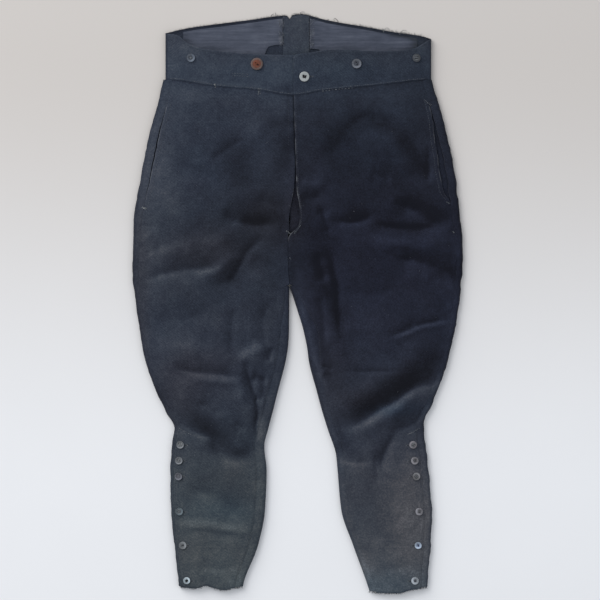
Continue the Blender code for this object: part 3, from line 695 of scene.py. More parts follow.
def seam_relief(distance, along, sewn, seed):
    """What an edge adds to the face: a groove and puckers where it is sewn, a soft turned
    edge where it is free."""
    distance = np.abs(distance)
    groove = -0.28 * bell(distance, 1.6) + 0.26 * bell(distance - 5.0, 3.2)
    pucker = 0.34 * hills(along, distance * 0.4, 6.5, seed) * bell(distance, 9.0)
    turned = (-0.3 * bell(distance, 0.8) + 0.45 * bell(distance - 3.4, 2.8)
              + 0.2 * hills(along, distance * 0.3, 11.0, seed + 1) * bell(distance, 8.0))
    return sewn * (groove + pucker) + (1.0 - sewn) * turned


def front_relief(side, x, y):
    """Edges of a front panel, and the step along the fly."""
    start, end = panel_edges(side, y)
    top = curve(WAIST_SEAM_FRONT, x) - 0.5 * WAIST_GAP - y
    step = within(FLY_STEP_SPAN, y) * bell(end - x, 9.0)
    return (seam_relief(x - start, y, curve(SEWN_OUTSEAM, y), 61)
            + seam_relief(end - x, y, curve(SEWN_CENTRE, y), 63)
            + seam_relief(top, x, 1.0, 65) + step * FLY_STEP[side])


def strip_relief(side, x, y, at_outseam):
    """The same for the edges of the back that show on the front."""
    if at_outseam:
        folded, edge, sewn = outer_x(side, y), outseam_x(side, y), curve(SEWN_STRIP, y)
    else:
        folded, edge, sewn = curve(INNER[side], y), inseam_x(side, y), 1.0
    fade = ease((np.abs(x - folded) - ROLL) / 2.0)
    return seam_relief(edge - x, y, sewn, 67) * fade - 0.4 * (1.0 - sewn) * fade


def band_relief(side, x, y):
    """Edges of the front waistband: sewn below, turned over above and at its end."""
    low = y - curve(WAIST_SEAM_FRONT, x) - 0.5 * WAIST_GAP
    high = curve(BAND_TOP_FRONT[side], x) - y
    flat = seam_relief(low, x, 1.0, 71) + seam_relief(high, x, 0.0, 73)
    return flat + seam_relief(x - BAND_END_X[side], y, 0.0, 75)


def front_face(side, x, y):
    return height(side, x, y) + front_relief(side, x, y)


def band_face(side, x, y):
    return height(side, x, y) + band_relief(side, x, y)


def normals_of(face, side, x, y, step=0.6):
    """Unit normals of a face that is given as a height."""
    dx = (face(side, x + step, y) - face(side, x - step, y)) / (2 * step)
    dy = (face(side, x, y + step) - face(side, x, y - step)) / (2 * step)
    return unit(points_at(-dx, -dy, 1.0))


def roll_points(edge_x, outwards, y, turn):
    """turn runs from 0 at the top of a folded edge to 1 on the table."""
    angle = np.pi * (0.5 - turn)
    return points_at(edge_x - outwards * ROLL + outwards * ROLL * np.cos(angle), y,
                     ROLL + ROLL * np.sin(angle))


def settle(side, share_x, nominal_y, hem_shift, seam):
    """Rows bent to the hem and the waist seam; share_x(y) gives x on a level row."""
    y = nominal_y
    up = ease((nominal_y - WAIST_NOMINAL + WAIST_BLEND) / WAIST_BLEND)
    down = ease((HEM_NOMINAL + HEM_BLEND - nominal_y) / HEM_BLEND)
    for _ in range(4):
        x = share_x(y)
        y = (nominal_y + up * (curve(seam, x) - 0.5 * WAIST_GAP - WAIST_NOMINAL)
             + down * (curve(HEM[side], x) + hem_shift - HEM_NOMINAL))
    return share_x(y), y


def spread(start, end, coarse):
    """Places from start to end, close together at both ends."""
    whole, last = end - start, NEAR_EDGE[-1]
    middle = np.linspace(last, whole - last, max(3, int((whole - 2 * last) / coarse)))
    return start + np.concatenate([NEAR_EDGE[:-1], middle, whole - NEAR_EDGE[-2::-1]])


# ------------------------------------------------------------------------ sheets of cloth
def column_places(count):
    """Columns of a panel: fixed distances beside both edges, even shares between them."""
    last, beside = NEAR_EDGE[-1], len(NEAR_EDGE) - 1
    fixed = np.concatenate([NEAR_EDGE[:-1], np.full(count, last), 2 * last - NEAR_EDGE[-2::-1]])
    return fixed, np.concatenate([np.zeros(beside), np.linspace(0, 1, count), np.ones(beside)])


def across_panel(start, end, inwards, fixed, share):
    return start + inwards * (fixed + share * ((end - start) * inwards - 2 * NEAR_EDGE[-1]))


def run_lengths(points):
    """Distance run along each row of points, and along each column."""
    along_rows = np.linalg.norm(np.diff(points, axis=1), axis=2).cumsum(axis=1)
    along_columns = np.linalg.norm(np.diff(points, axis=0), axis=2).cumsum(axis=0)
    return along_rows, along_columns


def primitive(add, **sizes):
    """A new primitive, and nothing else selected."""
    bpy.ops.object.select_all(action="DESELECT")
    add(**sizes)
    return bpy.context.active_object


def apply_modifier(piece, name, kind, **settings):
    made = piece.modifiers.new(name, kind)
    for label, value in settings.items():
        setattr(made, label, value)
    bpy.ops.object.modifier_apply(modifier=made.name)


def grid_between(x, low, high, step):
    """X and Y of the rows of a strip from its lower edge to its upper one."""
    levels = spread(0.0, 60.0, step)[:, None] / 60.0
    y = low[None, :] + (high - low)[None, :] * levels
    return np.repeat(x[None, :], len(levels), axis=0), y


def paint(mesh, marks):
    """Numbers that a mesh carries at its points for its material."""
    for label, values in marks.items():
        mesh.attributes.new(label, "FLOAT", "POINT").data.foreach_set(
            "value", np.asarray(values, np.float32))


def cloth_piece(name, points, thickness, material, stands_for, wear, shade, keep=None):
    """A sheet through a grid of points (rows, columns, 3), which give its upper or outer
    face; its thickness is taken inwards. keep says which cells of the grid are cloth."""
    rows, columns = points.shape[:2]
    sheet = primitive(bpy.ops.mesh.primitive_grid_add, x_subdivisions=columns - 1,
                      y_subdivisions=rows - 1, size=1.0, location=(0, 0, 0))
    sheet.name = sheet.data.name = name
    mesh = sheet.data
    flat = np.empty(len(mesh.vertices) * 3)
    mesh.vertices.foreach_get("co", flat)
    flat = flat.reshape(-1, 3)
    column = np.rint((flat[:, 0] + 0.5) * (columns - 1)).astype(int)
    row = np.rint((flat[:, 1] + 0.5) * (rows - 1)).astype(int)
    mesh.vertices.foreach_set("co", (points[row, column] * MM).ravel())

    across_run, along_run = run_lengths(points)
    width = np.concatenate([np.zeros((rows, 1)), across_run], axis=1)
    width -= width[:, columns // 2][:, None]
    layer = mesh.uv_layers.active or mesh.uv_layers.new()
    layer.name = "cloth"
    corner = np.empty(len(mesh.loops), int)
    mesh.loops.foreach_get("vertex_index", corner)
    uv = np.stack([width[row, column], points[row, column, 1]], axis=1)[corner] * MM
    layer.data.foreach_set("uv", uv.ravel())
    x, y = points[..., 0], points[..., 1]
    leftwards = ease(0.5 + x / 110.0)
    tint = curve(TINT["right"], y) * (1.0 - leftwards) + curve(TINT["left"], y) * leftwards
    marks = {"wear": wear, "shade": shade, "tint": tint, "warm": patches(WARMTH, x, y)}
    paint(mesh, {label: np.broadcast_to(values, (rows, columns))[row, column]
                 for label, values in marks.items()})

    if keep is not None:
        bpy.ops.object.mode_set(mode="EDIT")
        bpy.ops.mesh.select_mode(type="FACE")
        bpy.ops.mesh.select_all(action="DESELECT")
        bpy.ops.object.mode_set(mode="OBJECT")
        first = np.empty(len(mesh.polygons), int)
        mesh.polygons.foreach_get("loop_start", first)
        cell = corner[first[:, None] + np.arange(4)]
        mesh.polygons.foreach_set("select", ~keep[row[cell].min(axis=1),
                                                  column[cell].min(axis=1)])
        bpy.ops.object.mode_set(mode="EDIT")
        bpy.ops.mesh.delete(type="FACE")
        bpy.ops.object.mode_set(mode="OBJECT")
    mesh.update()
    if sum(polygon.normal.z for polygon in mesh.polygons[:4]) < 0.0:
        mesh.flip_normals()

    apply_modifier(sheet, "Cloth thickness", "SOLIDIFY", thickness=thickness * MM, offset=-1.0,
                   use_even_offset=True)
    bpy.ops.object.shade_smooth_by_angle(angle=math.radians(50))
    sheet.data.materials.append(material)

    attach(sheet, "root")
    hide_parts(*stands_for)
    quads = np.linalg.norm(np.cross(points[1:, 1:] - points[:-1, :-1],
                                    points[1:, :-1] - points[:-1, 1:]), axis=2) * 0.5
    flat = float(across_run[:, -1].max()), float(along_run[-1].max())


def slope_of(face, side, x, y):
    """How a face rises going away from the light, for the painted shade on its slopes."""
    across, along = AWAY_FROM_LIGHT
    return (face(side, x + across, y + along) - face(side, x - across, y - along)) / 2.0


def shade_field(side, x, y):
    """How much lighter the cloth is here than elsewhere: fading with painted light and shade by
    height, painted shade on slopes that face away from the light, a darker line along the hem,
    painted light and shade of the folds, and uneven tone.
    """
    return (curve(FADE_AND_LIGHT[side], y) + SLOPE_SHADE * np.tanh(slope_of(fold_field, side, x, y) / 0.35)
            - 0.25 * bell(y - curve(HEM[side], x), 2.6) + on_lattice(shade_lattice(side), x, y)
            + 0.08 * turned_hills(x, y, 50, 120, 20, 91) + 0.05 * hills(x, y, 17, 92))


def shade_under(side, x, y):
    """The same for the underside, which is less faded, with painted shade on the slopes of its
    creases and along its seams.
    """
    # fading with painted light and shade, averaged over both legs
    faded = 0.3 * (curve(FADE_AND_LIGHT["right"], y) + curve(FADE_AND_LIGHT["left"], y))
    seam = centre_seam(x, y, 1.5) + bell(curve(WAIST_SEAM_BACK, x) - y, 1.8)
    return (faded - 0.3 * np.tanh(slope_of(underside, side, x, y) / 0.3) - 0.22 * seam
            + 0.07 * turned_hills(x, y, 60, 110, -24, 101) + 0.05 * hills(x, y, 19, 102))


def edge_wear(distance, along, reach, seed):
    """A pale worn line along an edge, uneven along it."""
    return bell(distance, reach) * (0.62 + 0.38 * hills(along, distance * 0.2, 9.0, seed))


def rim_shade(turn, darkest=0.4):
    """Painted shade on a folded edge, darker the further it turns under."""
    return -darkest * (0.15 + 0.85 * ease(turn / 0.5))


def front_wear(side, x, y):
    """Pale worn lines on a front: the fly, the pocket mouth and the calf opening."""
    start, end = panel_edges(side, y)
    inwards = INWARDS[side]
    from_start, from_end = (x - start) * inwards, (end - x) * inwards
    opening = ease((-200.0 - y) / 12.0)
    fly_strength = curve(FLY_WORN, y)
    if side == "right":
        fly_strength = fly_strength * ease((205.0 - y) / 12.0) * 0.55
    return (within(FLY_WORN_SPAN, y) * fly_strength * edge_wear(from_end, y, 2.2, 93)
            + within(POCKET_WORN_SPAN, y) * 0.5 * edge_wear(from_start, y, 1.8, 94)
            + opening * 0.25 * edge_wear(from_start, y, 1.5, 95)
            + (y < CROTCH_Y) * 0.12 * edge_wear(from_end, y, 2.6, 96))


def leg_rows():
    return spread(HEM_NOMINAL, WAIST_NOMINAL, ROW_STEP)


def front_panel(side, wool):
    fixed, share = column_places(FRONT_COLUMNS)
    level = np.repeat(leg_rows()[:, None], len(fixed), axis=1)
    x, y = settle(side, lambda y: across_panel(*panel_edges(side, y, level), INWARDS[side],
                                               fixed, share), level, 0.0, WAIST_SEAM_FRONT)
    # painted shade along the waist seam
    shade = shade_field(side, x, y) - 0.2 * bell(curve(WAIST_SEAM_FRONT, x) - y, 2.2)
    cloth_piece(f"leg_front_{side}", points_at(x, y, front_face(side, x, y)), WALL, wool,
                [f"front_{side}"], front_wear(side, x, y), shade)


def back_panel(side, wool):
    """The back of a leg: on the table, round both folded edges and on to the front."""
    inwards = INWARDS[side]
    strip, roll, flat = (np.linspace(0, 1, count)
                         for count in (STRIP_COLUMNS, ROLL_COLUMNS, BACK_COLUMNS))
    rows = leg_rows()

    def ends_of(stretch, y, level):
        """X of the start and the end of a stretch of the section."""
        outer = outer_x(side, y) + inwards * ROLL
        inner = curve(INNER[side], y) - inwards * ROLL
        if stretch == "flat":
            return outer, np.where(level > CROTCH_Y,
                                   CENTRE_BACK_X - inwards * 0.5 * SEAM_GAP, inner)
        return {"outseam": (outseam_x(side, y), outer), "outer roll": (outer, outer),
                "inseam": (inseam_x(side, y), inner), "inner roll": (inner, inner)}[stretch]

    def section(stretch, share):
        """Points, wear and shade of a stretch of the section, in every row."""
        level = np.repeat(rows[:, None], len(share), axis=1)

        def share_x(y):
            start, end = ends_of(stretch, y, level)
            return start + (end - start) * share

        seam = WAIST_SEAM_BACK if stretch == "flat" else WAIST_SEAM_FRONT
        x, y = settle(side, share_x, level, BACK_HEM_SHORTER, seam)
        if stretch == "flat":
            return points_at(x, y, underside(side, x, y)), 0.0 * x, shade_under(side, x, y)
        shade = shade_field(side, x, y)
        # painted shade on the folded edges, darker as they turn under
        if stretch == "outer roll":
            return (roll_points(outer_x(side, y), -inwards, y, share), 0.0 * x,
                    shade + rim_shade(share))
        if stretch == "inner roll":
            return (roll_points(curve(INNER[side], y), inwards, y, share), 0.0 * x,
                    shade + rim_shade(share, 0.2))
        at_outseam = stretch == "outseam"
        strength, reach, seed, lighter = (0.2, 1.5, 97, 0.0) if at_outseam else (
            0.12, 2.0, 98, 0.04)
        from_seam = x - ends_of(stretch, y, level)[0]
        z = height(side, x, y) + strip_relief(side, x, y, at_outseam)
        return (points_at(x, y, z), strength * edge_wear(from_seam, y, reach, seed),
                shade + lighter)

    parts = [section("outseam", strip[:-1]), section("outer roll", roll[:-1]),
             section("flat", flat), section("inner roll", roll[-2::-1]),
             section("inseam", strip[-2::-1])]
    points, wear, shade = (np.concatenate(stretches, axis=1) for stretches in zip(*parts))
    keep = np.ones((points.shape[0] - 1, points.shape[1] - 1), bool)
    last_flat = sum(part[0].shape[1] for part in parts[:3]) - 1
    keep[rows[1:] > CROTCH_Y, last_flat:] = False
    cloth_piece(f"leg_back_{side}", points, WALL, wool,
                [f"back_{side}", f"back_{side}_outseam_turn", f"back_{side}_inseam_turn"],
                wear, shade, keep)


def back_lie(x, y):
    """How the back of the band and its lining rise and fall together on the table."""
    return 0.5 * np.clip(undulation(x + 300.0, y + 90.0), 0.0, None)


def waistband(side, wool):
    """One strip from the fly round the side fold to the centre back seam."""
    inwards = INWARDS[side]
    fold = BAND_FOLD_X[side]
    turn_x = fold + inwards * ROLL
    centre = CENTRE_BACK_X - inwards * 0.5 * SEAM_GAP
    turn = np.linspace(0, 1, ROLL_COLUMNS)

    def grid(x, seam, top):
        return grid_between(x, curve(seam, x) + 0.5 * WAIST_GAP, top, BAND_STEP)

    x = BAND_END_X[side] - inwards * spread(0.0, abs(turn_x - BAND_END_X[side]), BAND_STEP)
    x, y = grid(x, WAIST_SEAM_FRONT, curve(BAND_TOP_FRONT[side], x))
    on_front = points_at(x, y, band_face(side, x, y))
    from_end = x - BAND_END_X[side]
    worn = (0.30 * edge_wear(curve(BAND_TOP_FRONT[side], x) - y, x, 1.5, 81)
            + 0.5 * edge_wear(from_end, y, 1.5, 82) * ease((y - 385.0) / 14.0))
    above_seam = y - curve(WAIST_SEAM_FRONT, x)
    sewn_line = bell(above_seam - 3.0, 1.3) * (0.6 + 0.4 * hills(x, y, 20.0, 84))
    # painted highlight on the top corner of the left band's end
    corner = bell(from_end, 9.0) * ease((y - 396.0) / 12.0) * (side == "left")
    # painted shade along the waist seam below the band; lighter along the sewn line
    shade_front = (BAND_LIGHTER + shade_field(side, x, y) + 0.08 * sewn_line
                   - 0.06 * bell(above_seam - 10.0, 9.0) + 0.10 * corner
                   - 0.22 * bell(above_seam - 0.3, 1.2))

    front_top, back_top = (curve(top[side], turn_x) for top in (BAND_TOP_FRONT, BAND_TOP_BACK))
    _, y = grid(np.full(len(turn), turn_x), WAIST_SEAM_FRONT,
                front_top + (back_top - front_top) * turn)
    on_turn = roll_points(fold, -inwards, y, turn[None, :])[:, 1:]
    # painted shade on the band's fold, darker the further it turns under
    turn_shade = 0 * on_turn[..., 0] + 0.15 + rim_shade(turn[None, 1:])

    x = turn_x + inwards * spread(0.0, abs(centre - turn_x), BAND_STEP)[1:]
    x, y = grid(x, WAIST_SEAM_BACK, curve(BAND_TOP_BACK[side], x))
    on_back = points_at(x, y, back_lie(x, y) * ease(np.abs(x - turn_x) / 20.0))
    below_top = curve(BAND_TOP_BACK[side], x) - y
    raw = 0.20 * edge_wear(below_top, x, 1.2, 83)

    cloth_piece(f"waist_band_{side}", np.concatenate([on_front, on_turn, on_back], axis=1),
                WALL, wool, [f"waistband_{side}"],
                np.concatenate([worn, 0 * turn_shade, raw], axis=1),
                np.concatenate([shade_front, turn_shade, 0.10 - 0.32 * bell(below_top, 4.5)],
                               axis=1))


def layer_under(name, side, x_edges, strip, wool, node):
    """A strip that lies under a front; x_edges(y) gives its two long edges."""
    y = np.linspace(strip["bottom"], strip["top"], strip["rows"])[:, None]
    y = np.repeat(y, strip["columns"], axis=1)
    first, last = x_edges(y)
    x = first + (last - first) * np.linspace(0, 1, strip["columns"])[None, :]
    points = (points_at(x, y, height(side, x, y))
              - (WALL + LAYER_GAP) * normals_of(height, side, x, y))
    # a lighter below 0 is painted shade, where the strip lies in the shade under a front
    cloth_piece(name, points, UNDERLAP_THICKNESS, wool, [node], 0.0,
                strip["lighter"] + 0.1 * hills(x, y, 14, 85))


def edge_strip(side, strip):
    return lambda y: [outer_x(side, y) + INWARDS[side] * strip[edge]
                      for edge in ("from_edge", "to_edge")]


def fly_strip(y):
    edge = curve(CENTRE_FRONT["left"], y)
    return edge - FLY_UNDERLAP["left_of_edge"], edge + FLY_UNDERLAP["right_of_edge"]


def inside_layer(name, x_edges, low, high, thickness, material, node,
                 wear=None, ripple=0.0, lighter=0.0):
    """A flat layer on the inside of the back waistband; the lining is rippled and stained."""
    x = spread(x_edges[0], x_edges[1], LINING_STEP)
    x, y = grid_between(x, low(x), high(x), LINING_STEP)
    edge = np.minimum(np.abs(x - x_edges[0]), np.abs(x - x_edges[1]))
    z = (WALL + SEAM_GAP + thickness + back_lie(x, y)
         + ripple * (0.5 + 0.5 * hills(x, y * 1.6, 9.0, 86)) - 0.35 * thickness * bell(edge, 0.8))
    shade = lighter + 0.08 * hills(x, y, 22, 87)
    if ripple:
        outer = np.maximum(np.abs(x_edges[0]), np.abs(x_edges[1])) - np.abs(x)
        darker = 0.50 if x_edges[0] > 0.0 else 0.18
        shade = shade + (0.10 * turned_hills(x, y, 60, 4.5, 4, 89) + 0.06
                         - darker * bell(outer, 11.0)
                         - 0.60 * ease((x - 115.0) / 60.0) * bell(high(x) - y, 3.6))
    cloth_piece(name, points_at(x, y, z), thickness, material, [node],
                wear(x, y) if wear else 0.0, shade)


def lining_inner(side):
    """X of the lining's edge beside the centre back."""
    return LINING_X[side][1 if side == "right" else 0]


def waist_lining(side, lining):
    def selvedge(x, y):
        """Whitish close to the centre, where the lining is frayed and its edge shows."""
        away = x - lining_inner(side)
        ragged = 2.4 + 1.7 * hills(y, x * 0.2, 6.0, 88)
        cloudy = 0.5 + 0.5 * hills(x, y, 9.0, 90)
        return 0.06 * bell(away, ragged) + 0.42 * cloudy * bell(away, 13.0)

    inside_layer(f"waist_lining_panel_{side}", LINING_X[side],
                 lambda x: curve(LINING_CUT[side], x),
                 lambda x: curve(BAND_TOP_BACK[side], x) - LINING_BELOW_TOP,
                 LINING_THICKNESS, lining, f"waist_lining_{side}",
                 selvedge, LINING_RIPPLE)


def back_top_y(x):
    return np.where(x < CENTRE_BACK_X, curve(BAND_TOP_BACK["right"], x),
                    curve(BAND_TOP_BACK["left"], x))


def cloth_pieces(wool, lining):
    for side in SIDES:
        back_panel(side, wool)
        front_panel(side, wool)
        waistband(side, wool)
        waist_lining(side, lining)
        layer_under(f"pocket_backing_{side}", side, edge_strip(side, POCKET_BEARER),
                    POCKET_BEARER, wool, f"pocket_bearer_{side}")
        layer_under(f"calf_button_stand_{side}", side, edge_strip(side, CALF_STAND),
                    CALF_STAND, wool, f"calf_stand_{side}")
    layer_under("fly_under_piece", "right", fly_strip, FLY_UNDERLAP, wool, "fly_underlap")
    inside_layer("centre_back_piece", (INLAY["left"], INLAY["right"]),
                 lambda x: np.full(x.shape, INLAY["bottom"]),
                 lambda x: back_top_y(x) - INLAY["below_top"],
                 INLAY["thickness"], wool, "centre_back_inlay",
                 lighter=INLAY["lighter"])


# ------------------------------------------------------------- stitches, threads and buttons
def face_at(side, x, y):
    """Height of the outer face, on the waistband or on the front below it."""
    return np.where(y > curve(WAIST_SEAM_FRONT, x), band_face(side, x, y),
                    front_face(side, x, y))


def on_face(side, x, y, lift=0.0):
    """Points on the cloth and the way it faces there."""
    x, y = np.asarray(x, float), np.asarray(y, float)
    facing = normals_of(face_at, side, x, y, 1.5)
    return points_at(x, y, face_at(side, x, y)) + lift * facing, facing


def finished(piece, name, material, slot, *stands_for):
    piece.name = piece.data.name = name
    piece.data.materials.clear()
    piece.data.materials.append(material)
    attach(piece, "root")
    if stands_for:
        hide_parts(*stands_for)


def stitch_shape():
    """One stitch, 1 long and 1 thick, along X: its points and faces."""
    stitch = primitive(bpy.ops.mesh.primitive_uv_sphere_add, segments=6, ring_count=5,
                       radius=0.5)
    bpy.ops.object.mode_set(mode="EDIT")
    bpy.ops.mesh.select_all(action="SELECT")
    bpy.ops.transform.rotate(value=math.pi / 2, orient_axis="Y", center_override=(0, 0, 0))
    bpy.ops.object.mode_set(mode="OBJECT")
    corners = np.array([tuple(v.co) for v in stitch.data.vertices])
    corners[:, 0] *= 0.5 / np.abs(corners[:, 0]).max()
    faces = [tuple(p.vertices) for p in stitch.data.polygons]
    bpy.data.objects.remove(stitch)
    return corners, faces


class Gathered:
    """Small shapes, in millimetres, that become one piece, each with its own lightness."""

    def __init__(self):
        self.corners, self.faces, self.shades, self.warms = [], [], [], []
        self.so_far = 0

    def add(self, corners, faces, shade, warm=0.0):
        self.corners.append(corners)
        self.faces.extend(tuple(i + self.so_far for i in face) for face in faces)
        self.shades.append(np.broadcast_to(shade, len(corners)))
        self.warms.append(np.full(len(corners), warm))
        self.so_far += len(corners)

    def stitches(self, shape, places, ways, facings, length, thick, shade, warm=0.0):
        """Copies of the stitch, each laid along its own way, half sunk in the cloth."""
        corners, faces = shape
        count, each = len(places), len(corners)
        length, thick, shade = (np.broadcast_to(value, count).astype(float)
                                for value in (length, thick, shade))
        ways = unit(ways - facings * np.sum(ways * facings, axis=1, keepdims=True))
        sides = np.cross(facings, ways)
        points = (places[:, None] + ways[:, None] * (corners[:, 0:1] * length[:, None, None])
                  + (sides[:, None] * corners[:, 1:2] + facings[:, None] * corners[:, 2:3])
                  * thick[:, None, None])
        self.add(points.reshape(-1, 3), [tuple(i + k * each for i in face)
                                         for k in range(count) for face in faces],
                 np.repeat(shade, each), warm)

    def piece(self, name, material, slot):
        mesh = bpy.data.meshes.new(name)
        mesh.from_pydata((np.concatenate(self.corners) * MM).tolist(), [], self.faces)
        paint(mesh, {"shade": np.concatenate(self.shades)})
        if np.any(np.concatenate(self.warms)):
            paint(mesh, {"warm": np.concatenate(self.warms)})
        mesh.shade_smooth()
        piece = bpy.data.objects.new(name, mesh)
        bpy.context.scene.collection.objects.link(piece)
        finished(piece, name, material, slot)


def walk(route, step):
    """Places at even steps along a route, and the way it runs there."""
    route = np.asarray(route, float)
    run = np.concatenate([[0.0], np.cumsum(np.hypot(*np.diff(route, axis=0).T))])
    at = np.arange(0.5 * step, run[-1], step)

    def place(at):
        return points_at(*(np.interp(at, run, axis) for axis in route.T))

    return place(at), place(at + 0.5) - place(at - 0.5)
STITCHING = {           # rows of sewing: step, length of a stitch, thickness, lightness
    "waist seam": (3.6, 2.7, 0.75, 0.42),
    "band top": (3.8, 2.6, 0.5, 0.16),
    "pocket": (3.8, 2.8, 0.6, 0.34),
    "calf opening": (3.8, 2.8, 0.6, 0.26),
    "calf stand": (3.6, 2.6, 0.6, 0.22),
    "head of opening": (3.0, 2.4, 0.9, 0.62),
    "inseam": (4.4, 2.6, 0.5, 0.16),
    "left fly": (3.8, 2.8, 0.6, 0.24),
    "right fly": (3.8, 2.8, 0.6, 0.14),
    "waistband darn": (4.2, 3.0, 0.8, 0.40),
    "front darn": (5.4, 3.2, 0.9, 0.62),
}


def stitch_rows():
    """Every row of sewing: side, its kind, its route."""
    for side, low, high, pocket_end in (("right", -212.0, -9.0, 159.0),
                                        ("left", -2.0, 214.0, 166.0)):
        inwards = INWARDS[side]
        x = np.linspace(low, high, 90)
        yield side, "waist seam", points_at(x, curve(WAIST_SEAM_FRONT, x) + 2.6)
        yield side, "band top", points_at(x, curve(BAND_TOP_FRONT[side], x) - 3.4)
        y = np.linspace(336.0, pocket_end, 60)
        yield side, "pocket", points_at(panel_edges(side, y)[0] + inwards * 6.4, y)
        y = np.linspace(-214.0, -462.0, 60)
        yield side, "calf opening", points_at(panel_edges(side, y)[0] + inwards * 2.6, y)
        y = np.linspace(-217.0, -342.0, 40)
        yield side, "calf stand", points_at(outer_x(side, y) + inwards * 33.0, y)
        corner = outer_x(side, -208.0) + inwards * 7.0
        yield side, "head of opening", [(corner, -207.0), (corner + inwards * 14.0, -215.0),
                                        (corner + inwards * 22.0, -218.0)]
        y = np.linspace(24.0, -462.0, 150)
        yield side, "inseam", points_at(inseam_x(side, y) - inwards * 2.6, y)
    y = np.linspace(342.0, 118.0, 80)
    yield "left", "left fly", points_at(curve(CENTRE_FRONT["left"], y) + 3.2, y)
    yield "right", "right fly", [(-15.0, 342.0), (-14.5, 262.0)]
    for low in (379.0, 382.6):
        yield "right", "waistband darn", [(-110.0, low), (-80.0, low - 2.0)]
    yield "left", "front darn", [(40.0, 352.6), (66.0, 356.0), (92.0, 358.4)]


BAR_TACKS = [
    # side, from, to, stitches, length of a stitch, lightness
    ("right", (-258.0, 160.0), (-252.0, 157.0), 7, 3.4, 0.95),
    ("left", (249.0, 168.0), (253.0, 166.4), 4, 2.6, 0.55),
    ("left", (259.0, 119.5), (260.6, 117.4), 3, 2.4, 0.60),
    ("left", (211.0, 338.5), (222.0, 330.0), 7, 3.0, 0.55),
    ("right", (-18.0, 120.0), (-8.0, 114.0), 8, 2.8, 0.80),
    ("left", (-5.0, 116.0), (5.0, 129.0), 10, 2.8, 0.45),
    ("right", (-137.5, 364.0), (-136.0, 360.0), 3, 3.4, 0.95),
    ("right", (-65.0, 357.5), (-64.6, 347.0), 6, 1.4, 0.70),
    ("right", (-62.4, 356.5), (-62.0, 348.0), 5, 1.4, 0.55),
    ("right", (-12.6, 76.0), (-11.0, 73.0), 3, 3.0, 0.35),
]


def seam_stitches(shape, thread):
    rng = np.random.default_rng(5)
    sewing = Gathered()

    def lay(side, places, ways, length, thick, light, lift):
        on, facing = on_face(side, places[:, 0], places[:, 1], lift)
        sewing.stitches(shape, on, np.pad(ways, ((0, 0), (0, 1))), facing,
                        length * rng.uniform(0.82, 1.08, len(places)), thick,
                        light * rng.uniform(0.55, 1.25, len(places)))

    for side, kind, route in stitch_rows():
        step, length, thick, light = STITCHING[kind]
        places, ways = walk(route, step)
        places = places + rng.normal(0.0, 0.12, places.shape)
        lay(side, places, ways, length, thick, light, 0.05)
    for side, first, last, count, length, light in BAR_TACKS:
        run = np.array(last) - np.array(first)
        places = np.array(first) + run * np.linspace(0, 1, count)[:, None]
        across = np.array([-run[1], run[0]]) + rng.normal(0.0, 1.0, (count, 2))
        lay(side, places + rng.normal(0.0, 0.3, places.shape), across, length, 0.9, light, 0.25)
    sewing.piece("seam_stitches", thread, "navy_wool")
# side, x, y, half length, lean in radians, lightness of the stitches
WAIST_HOLE = ("left", 14.8, 376.6, 11.0, 0.04, 0.45)
CALF_HOLE = {"past_button": 3.0, "half": 8.6, "lean": -0.12, "light": 0.5}


def buttonholes(shape, thread, holes):
    """Worked buttonholes: a near-black slit of painted shade with stitches all round it."""
    rng = np.random.default_rng(6)
    sewing = Gathered()
    turn = np.linspace(0.0, 2.0 * np.pi, 30, endpoint=False)[:, None]
    for side, x, y, half, lean, light in holes:
        way = np.array([math.cos(lean), math.sin(lean)])
        off = np.array([-way[1], way[0]])
        places = np.array([x, y]) + (np.clip(1.25 * np.cos(turn), -1, 1) * half * way
                                     + np.sin(turn) * 1.1 * off)
        out = np.cos(turn) ** 5 * way + np.sin(turn) * off
        on, facing = on_face(side, places[:, 0], places[:, 1], 0.12)
        sewing.stitches(shape, on, np.pad(out, ((0, 0), (0, 1))), facing,
                        1.9 * rng.uniform(0.85, 1.15, len(on)), 0.62,
                        light * rng.uniform(0.6, 1.2, len(on)))
        # a near-black stitch in the slit, painted shade of the opening
        slit_at, slit_up = on_face(side, np.array([x]), np.array([y]), 0.02)
        sewing.stitches(shape, slit_at, np.array([[*way, 0.0]]), slit_up, 2.0 * half, 0.9, -0.6)
    sewing.piece("buttonhole_stitches", thread, "navy_wool")


def thread_tubes(name, lines, radii, shades, material, slot):
    """Thin threads with three sides, each along its own line of points."""
    threads = Gathered()
    for line, radius, shade in zip(lines, radii, shades):
        line = np.asarray(line, float)
        last = 3 * (len(line) - 1)
        run = unit(np.gradient(line, axis=0))
        side = unit(np.cross(run, [0.0, 0.0, 1.0]))
        up = np.cross(side, run)
        thin = radius * (1.0 - 0.6 * np.linspace(0, 1, len(line)) ** 3)[:, None]
        rings = [line + thin * (math.cos(a) * side + math.sin(a) * up)
                 for a in (0.5 * math.pi, 7 / 6 * math.pi, 11 / 6 * math.pi)]
        faces = [(k + a, k + b, k + 3 + b, k + 3 + a)
                 for k in range(0, last, 3) for a, b in ((0, 1), (1, 2), (2, 0))]
        threads.add(np.stack(rings, axis=1).reshape(-1, 3),
                    faces + [(2, 1, 0), (last, last + 1, last + 2)], shade)
    threads.piece(name, material, slot)


